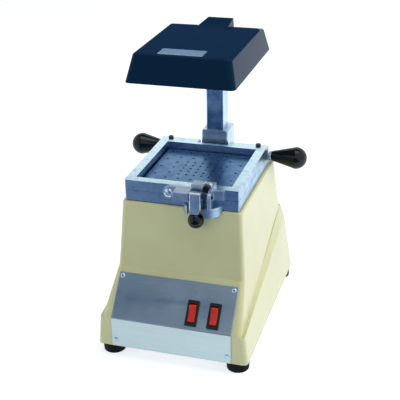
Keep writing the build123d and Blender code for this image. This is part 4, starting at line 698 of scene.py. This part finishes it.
# ------------------------------------------------------------------ settings
class VacuumFormerSettings(bpy.types.PropertyGroup):
    """Sizes and colours of the dressing."""

    enamel_edge: bpy.props.FloatProperty(
        name="Enamel edge", description="Radius left on the housing's edges", default=0.0009,
        min=0.0, max=0.003, unit="LENGTH")
    metal_edge: bpy.props.FloatProperty(
        name="Metal edge", description="Radius left on machined edges", default=0.0005,
        min=0.0, max=0.002, unit="LENGTH")
    cover_edge: bpy.props.FloatProperty(
        name="Cover edge", description="Radius left on the heater cover's edges", default=0.0016,
        min=0.0, max=0.006, unit="LENGTH")
    floor_size: bpy.props.FloatProperty(
        name="Floor size", description="Side of the pale floor", default=12.0, min=2.0, unit="LENGTH")
    floor_colour: bpy.props.FloatVectorProperty(
        name="Floor colour", description="Colour of the floor", default=srgb("e4e8ec")[:3],
        subtype="COLOR", size=3, min=0.0, max=1.0)
    floor_glow: bpy.props.FloatProperty(
        name="Floor glow", description="Light that the floor shows to the eye by itself", default=0.64,
        min=0.0, max=1.0)
    flag_colour: bpy.props.FloatVectorProperty(
        name="Flag colour", description="Colour of the cards that metal and the cover mirror",
        default=srgb("3a5a86")[:3], subtype="COLOR", size=3, min=0.0, max=1.0)
    sky_level: bpy.props.FloatProperty(
        name="Sky level", description="Strength of the even light from all round", default=0.46,
        min=0.0, max=1.0)


# ------------------------------------------------------------------ stage
# the camera as fitted to the photograph's edges: metres, degrees and millimetres
CAMERA_AT = (0.309416, -0.995503, 0.650448)
CAMERA_AZIMUTH, CAMERA_ELEVATION, CAMERA_ROLL = 17.2995, 25.2866, -1.1896
CAMERA_LENS = 82.87

# each card is a sheet swept through rows of left x, right x, y and z
FLAGS = {
    "front_flag": ((-0.36, 0.7, -0.28, 0.004), (-0.36, 0.7, -0.9, 0.004), (-0.36, 0.7, -1.3, 0.5),
                   (-0.9, -0.34, -1.45, 1.0), (-1.3, -0.06, -1.3, 1.9), (-1.5, 0.0, -0.8, 2.5)),
    "rear_flag": ((-0.45, 0.25, 0.20, 0.372), (-0.45, 0.25, 0.20, 0.75)),
}

# each lamp's name, place, target, side in metres, power in watts and whether metal mirrors it
LAMPS = (
    ("key_softbox", (1.25, 0.3, 0.55), (0, 0, 0.22), 0.9, 8.8, False),
    ("top_softbox", (0.3, 0.1, 2.0), (0, 0, 0.2), 1.2, 8.0, True),
    ("front_fill", (-0.7, -1.8, 0.8), (0, 0, 0.12), 1.2, 6, False),
)


# ------------------------------------------------------------------ operators
class VF_OT_stage(bpy.types.Operator):
    """Lays the pale floor, hangs the soft lights and sets the camera"""

    bl_idname = "vacuum_former.stage"
    bl_label = "Stage, lights and camera"

    def execute(self, context):
        prop = settings()
        side = prop.floor_size / 2
        mesh = bpy.data.meshes.new("floor")
        corners = [(-side, -side, 0), (side, -side, 0), (side, side, 0), (-side, side, 0)]
        mesh.from_pydata(corners, [], [(0, 1, 2, 3)])
        floor = bpy.data.objects.new("floor", mesh)
        context.scene.collection.objects.link(floor)
        material = bpy.data.materials.new("pale_floor")
        material.use_nodes = True
        tree = material.node_tree
        tree.nodes.clear()
        # the floor looks white to the eye and in metal, and gives the object only what a pale floor gives
        path = add(tree, "ShaderNodeLightPath")
        mirrored = add(tree, "ShaderNodeMath", {"operation": "MAXIMUM"},
                       {0: path.outputs["Is Glossy Ray"], 1: path.outputs["Is Transmission Ray"]})
        seen = add(tree, "ShaderNodeMath", {"operation": "MAXIMUM"},
                   {0: path.outputs["Is Camera Ray"], 1: mirrored.outputs[0]})
        matte = add(tree, "ShaderNodeBsdfDiffuse", {"Color": (*prop.floor_colour, 1)})
        glow = add(tree, "ShaderNodeEmission", {"Color": (1, 1, 1, 1), "Strength": prop.floor_glow})
        both = add(tree, "ShaderNodeAddShader", links={0: matte.outputs[0], 1: glow.outputs[0]})
        pick = add(tree, "ShaderNodeMixShader",
                   links={"Fac": seen.outputs[0], 1: matte.outputs[0], 2: both.outputs[0]})
        add(tree, "ShaderNodeOutputMaterial", links={"Surface": pick.outputs[0]})
        mesh.materials.append(material)

        world = bpy.data.worlds.new("studio")
        context.scene.world = world
        world.use_nodes = True
        tree = world.node_tree
        tree.nodes.clear()
        path = add(tree, "ShaderNodeLightPath")
        mirrored = add(tree, "ShaderNodeMath", {"operation": "MAXIMUM"},
                       {0: path.outputs["Is Glossy Ray"], 1: path.outputs["Is Transmission Ray"]})
        seen = add(tree, "ShaderNodeMath", {"operation": "MAXIMUM"},
                   {0: path.outputs["Is Camera Ray"], 1: mirrored.outputs[0]})
        dim = add(tree, "ShaderNodeBackground", {"Color": srgb("e6edf4"), "Strength": prop.sky_level})
        white = add(tree, "ShaderNodeBackground", {"Color": (1, 1, 1, 1), "Strength": 1.0})
        pick = add(tree, "ShaderNodeMixShader",
                   links={"Fac": seen.outputs[0], 1: dim.outputs[0], 2: white.outputs[0]})
        add(tree, "ShaderNodeOutputWorld", links={"Surface": pick.outputs[0]})

        # two dark cards out of the view that glow with their own slate colour and show only in reflections: a
        # painted dark reflection, without which metal's front faces and the black cover's top would mirror
        # nothing but white
        material = bpy.data.materials.new("slate_card_painted_reflection")
        material.use_nodes = True
        tree = material.node_tree
        tree.nodes.clear()
        card = add(tree, "ShaderNodeEmission", {"Color": (*prop.flag_colour, 1), "Strength": 1.0})
        add(tree, "ShaderNodeOutputMaterial", links={"Surface": card.outputs[0]})
        for name, sweep in FLAGS.items():
            mesh = bpy.data.meshes.new(name)
            mesh.from_pydata([(x, y, z) for left, right, y, z in sweep for x in (left, right)], [],
                             [(2 * i + 2, 2 * i + 3, 2 * i + 1, 2 * i) for i in range(len(sweep) - 1)])
            mesh.materials.append(material)
            flag = bpy.data.objects.new(name, mesh)
            context.scene.collection.objects.link(flag)
            flag.visible_camera = False
            flag.visible_shadow = False
            flag.visible_diffuse = False

        for name, spot, target, size, power, mirrored_in_metal in LAMPS:
            light = bpy.data.lights.new(name, "AREA")
            light.shape = "SQUARE"
            light.size = size
            light.energy = power
            lamp = bpy.data.objects.new(name, light)
            context.scene.collection.objects.link(lamp)
            lamp.location = spot
            lamp.rotation_mode = "QUATERNION"
            lamp.rotation_quaternion = (Vector(target) - Vector(spot)).to_track_quat("-Z", "Y")
            lamp.visible_glossy = mirrored_in_metal

        azimuth, elevation, roll = map(math.radians, (CAMERA_AZIMUTH, CAMERA_ELEVATION, CAMERA_ROLL))
        back = Vector((math.sin(azimuth) * math.cos(elevation), -math.cos(azimuth) * math.cos(elevation),
                       math.sin(elevation)))
        right = (-back).cross(Vector((0, 0, 1))).normalized()
        upward = right.cross(-back)
        across = right * math.cos(roll) + upward * math.sin(roll)
        upright = upward * math.cos(roll) - right * math.sin(roll)
        lens = bpy.data.cameras.new("camera")
        lens.sensor_width = 36
        lens.lens = CAMERA_LENS
        lens.clip_end = 50
        camera = bpy.data.objects.new("camera", lens)
        context.scene.collection.objects.link(camera)
        turn = Matrix((across, upright, back)).transposed().to_4x4()
        camera.matrix_world = Matrix.Translation(CAMERA_AT) @ turn
        context.scene.camera = camera
        context.scene.view_settings.view_transform = "Standard"
        return {"FINISHED"}


class VF_OT_housing(bpy.types.Operator):
    """Dresses the enamelled housing, its base plate, its feet and what stands in its back"""

    bl_idname = "vacuum_former.housing"
    bl_label = "Housing and feet"

    def execute(self, context):
        edge = settings().enamel_edge * 1000
        eased("housing", "enamelled_housing", edge)
        eased("base_plate", "base_sheet", 0.3)
        eased("feet", "rubber_feet", 0.5)
        eased("cord_gland", "cord_gland_moulding", 0.4)
        for node in ("base_screws", "foot_screws", "base_gasket"):
            paint(node)
        return {"FINISHED"}


class VF_OT_panel(bpy.types.Operator):
    """Dresses the bent aluminium panel, its screws and its two rocker switches"""

    bl_idname = "vacuum_former.panel"
    bl_label = "Panel and switches"

    def execute(self, context):
        eased("front_panel", "brushed_front_panel", 0.25)
        # the two upper heads stand square to the slope, the two lower ones to the upright lip
        slope = math.atan2(0.75, 0.66)
        half_head = 0.00075
        places = []
        leans, spins = (math.pi / 2, math.pi / 2, slope, slope), (20, 65, 38, 8)
        for spot, lean, spin in zip(solids_of("panel_screws"), leans, spins):
            rotation = Matrix.Rotation(lean, 3, "X") @ Matrix.Rotation(math.radians(spin), 3, "Z")
            places.append((spot - rotation @ Vector((0, 0, half_head)), rotation))
        heads = grown("cross_recessed_panel_screws", places, domed_head_tree(), {}, BODY_OF["panel_screws"],
                      SLOT_OF["panel_screws"], "polished")
        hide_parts("panel_screws")
        for side in ("vacuum", "heater"):
            eased(f"{side}_switch_body", f"{side}_switch_bezel", 0.9, segments=3)
            eased(f"{side}_switch_rocker", f"{side}_rocker_lens", 0.5)
        return {"FINISHED"}


class VF_OT_platform(bpy.types.Operator):
    """Dresses the perforated platform and the machine under it"""

    bl_idname = "vacuum_former.platform"
    bl_label = "Platform and suction"

    def execute(self, context):
        plate = eased("vacuum_platform", "perforated_platform", 0, "platform")
        low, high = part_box("vacuum_platform")
        middle = (Vector(low) + Vector(high)) / 2
        half = (high[0] - low[0]) / 2
        wall = 0.003
        # walls inside the drilled holes get the near-black finish: painted shade in the holes
        plate.data.materials.append(finish_of("painted_shade_dark"))
        for polygon in plate.data.polygons:
            inside = max(abs(polygon.center.x - middle.x), abs(polygon.center.y - middle.y)) < half - wall
            if inside and abs(polygon.normal.z) < 0.5:
                polygon.material_index = 1
        # the drilled pattern: five by five in the middle and two square rings of sixteen round it
        pitch, inner_ring, edge_inset, lift = 0.0095, 0.0318, 0.0088, 0.00003
        spots = {(pitch * i, pitch * j) for i in range(-2, 3) for j in range(-2, 3)}
        for ring in (inner_ring, half - edge_inset):
            line = [ring * (i - 2) / 2 for i in range(5)]
            spots |= {(x, y) for x in line for y in line if max(abs(x), abs(y)) > ring - 0.0001}
        places = [(Vector((middle.x + x, middle.y + y, high[2] + lift)), Matrix.Identity(3))
                  for x, y in sorted(spots)]
        # thin dark rings round the holes: painted shade
        grown("perforation_shade_rings", places, shade_ring_tree(), {}, BODY_OF["vacuum_platform"],
              SLOT_OF["vacuum_platform"], "painted_shade_dark")
        for node in ("platform_screws", "motor_gasket", "fan_case", "fan_impeller", "vacuum_motor",
                     "motor_bolts"):
            paint(node)
        return {"FINISHED"}


class VF_OT_slide(bpy.types.Operator):
    """Dresses the post, the sliding collar and the two handles"""

    bl_idname = "vacuum_former.slide"
    bl_label = "Post, slide and handles"

    def execute(self, context):
        edge = settings().metal_edge * 1000
        eased("post", "plated_post", 0.3)
        eased("slide_collar", "cast_slide_collar", edge, "cast")
        for node in ("post_socket", "post_bolts", "post_cap", "heater_lead", "swivel_washer"):
            paint(node)
        for side in ("left", "right"):
            eased(f"handle_{side}", f"phenolic_handle_{side}", 0.6)
            eased(f"handle_ferrule_{side}", f"ferrule_{side}", 0.2, "polished")
            paint(f"handle_rod_{side}")
        eased("friction_screw", "friction_screw_head", 0.2)
        return {"FINISHED"}


class VF_OT_frames(bpy.types.Operator):
    """Dresses the two clamping frames with their seal, hinge and screws"""

    bl_idname = "vacuum_former.frames"
    bl_label = "Clamping frames"

    def execute(self, context):
        edge = settings().metal_edge * 1000
        # tops keep the bright aluminium, sides take its darker copy: painted shade on the faces turned from
        # the light
        upper = eased("upper_frame", "upper_clamping_frame", 2.0 * edge, shaded_sides="drawn")
        lower = eased("lower_frame", "lower_clamping_frame", 2.0 * edge, shaded_sides="drawn")
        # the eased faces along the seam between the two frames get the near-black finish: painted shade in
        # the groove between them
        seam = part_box("frame_seal")[1][2]
        reach = 0.002
        for piece in (upper, lower):
            piece.data.materials.append(finish_of("painted_shade_dark"))
            for polygon in piece.data.polygons:
                if abs(polygon.center.z - seam) < reach and 0.2 < abs(polygon.normal.z) < 0.95:
                    polygon.material_index = 2
        eased("level_screws", "level_screw_heads", 0.25)
        for node in ("frame_seal", "frame_bolts", "hinge_lugs", "hinge_pins"):
            paint(node)
        return {"FINISHED"}


class VF_OT_clamp(bpy.types.Operator):
    """Dresses the front clamp: bracket, lever, ball and keeper"""

    bl_idname = "vacuum_former.clamp"
    bl_label = "Front clamp"

    def execute(self, context):
        edge = settings().metal_edge * 1000
        eased("clamp_bracket", "cast_clamp_bracket", edge, "cast")
        # the keeper gets the darker aluminium copy: painted shade for its shaded front beside the lever
        eased("clamp_keeper", "clamp_keeper_painted_shade", edge, "drawn")
        eased("clamp_lever", "cast_clamp_lever", 1.2, "cast", segments=3)
        eased("ball_knob", "phenolic_ball", 0)
        low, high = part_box("slotted_screw")
        height = 0.0034
        rotation = Matrix.Rotation(math.pi / 2, 3, "X") @ Matrix.Rotation(math.radians(-24), 3, "Z")
        spot = Vector(((low[0] + high[0]) / 2, low[1] + height, (low[2] + high[2]) / 2))
        head = grown("slotted_screw_head", [(spot, rotation)], domed_head_tree(),
                     {"Head Radius": (high[0] - low[0]) / 2, "Head Height": height, "Recess Width": 0.0017,
                      "Recess Length": 0.016, "Cross Length": 0.0012},
                     BODY_OF["slotted_screw"], SLOT_OF["slotted_screw"], "polished")
        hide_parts("slotted_screw")
        eased("cap_screw", "cap_screw_head", 0.25)
        # the pin gets black steel so that it reads as dark as the shaded gap it sits in: painted shade
        paint("clamp_pin", "black_steel")
        paint("keeper_screws")
        return {"FINISHED"}


class VF_OT_heater(bpy.types.Operator):
    """Dresses the heater head: cover, reflector, element and guard"""

    bl_idname = "vacuum_former.heater"
    bl_label = "Heater head"

    def execute(self, context):
        eased("heater_cover", "stoved_heater_cover", settings().cover_edge * 1000, segments=4)
        eased("blank_plate", "bare_plate", 0.15)
        for node in ("head_bracket", "retaining_ring", "head_studs", "head_nuts", "heater_reflector",
                     "heating_element", "element_insulators", "heater_guard"):
            paint(node)
        return {"FINISHED"}


class VF_PT_panel(bpy.types.Panel):
    """Lists the steps that dress the vacuum former"""

    bl_idname = "VF_PT_panel"
    bl_label = "Vacuum Former"
    bl_space_type = "VIEW_3D"
    bl_region_type = "UI"
    bl_category = "Vacuum Former"

    def draw(self, context):
        prop = context.scene.vacuum_former
        for name in ("enamel_edge", "metal_edge", "cover_edge", "floor_size", "floor_colour", "floor_glow",
                     "flag_colour", "sky_level"):
            self.layout.prop(prop, name)
        for operator in STEPS:
            self.layout.operator(operator.bl_idname)


STEPS = (VF_OT_stage, VF_OT_housing, VF_OT_panel, VF_OT_platform, VF_OT_slide, VF_OT_frames, VF_OT_clamp,
         VF_OT_heater)
CLASSES = (VacuumFormerSettings, *STEPS, VF_PT_panel)


def register():
    """Registers the classes and the settings."""
    for cls in CLASSES:
        bpy.utils.register_class(cls)
    bpy.types.Scene.vacuum_former = bpy.props.PointerProperty(type=VacuumFormerSettings)


def unregister():
    """Takes the settings and the classes away again."""
    del bpy.types.Scene.vacuum_former
    for cls in reversed(CLASSES):
        bpy.utils.unregister_class(cls)


def main():
    """Dresses the whole machine."""
    register()
    for step in STEPS:
        group, name = step.bl_idname.split(".")
        getattr(getattr(bpy.ops, group), name)()


if __name__ == "__main__":
    main()
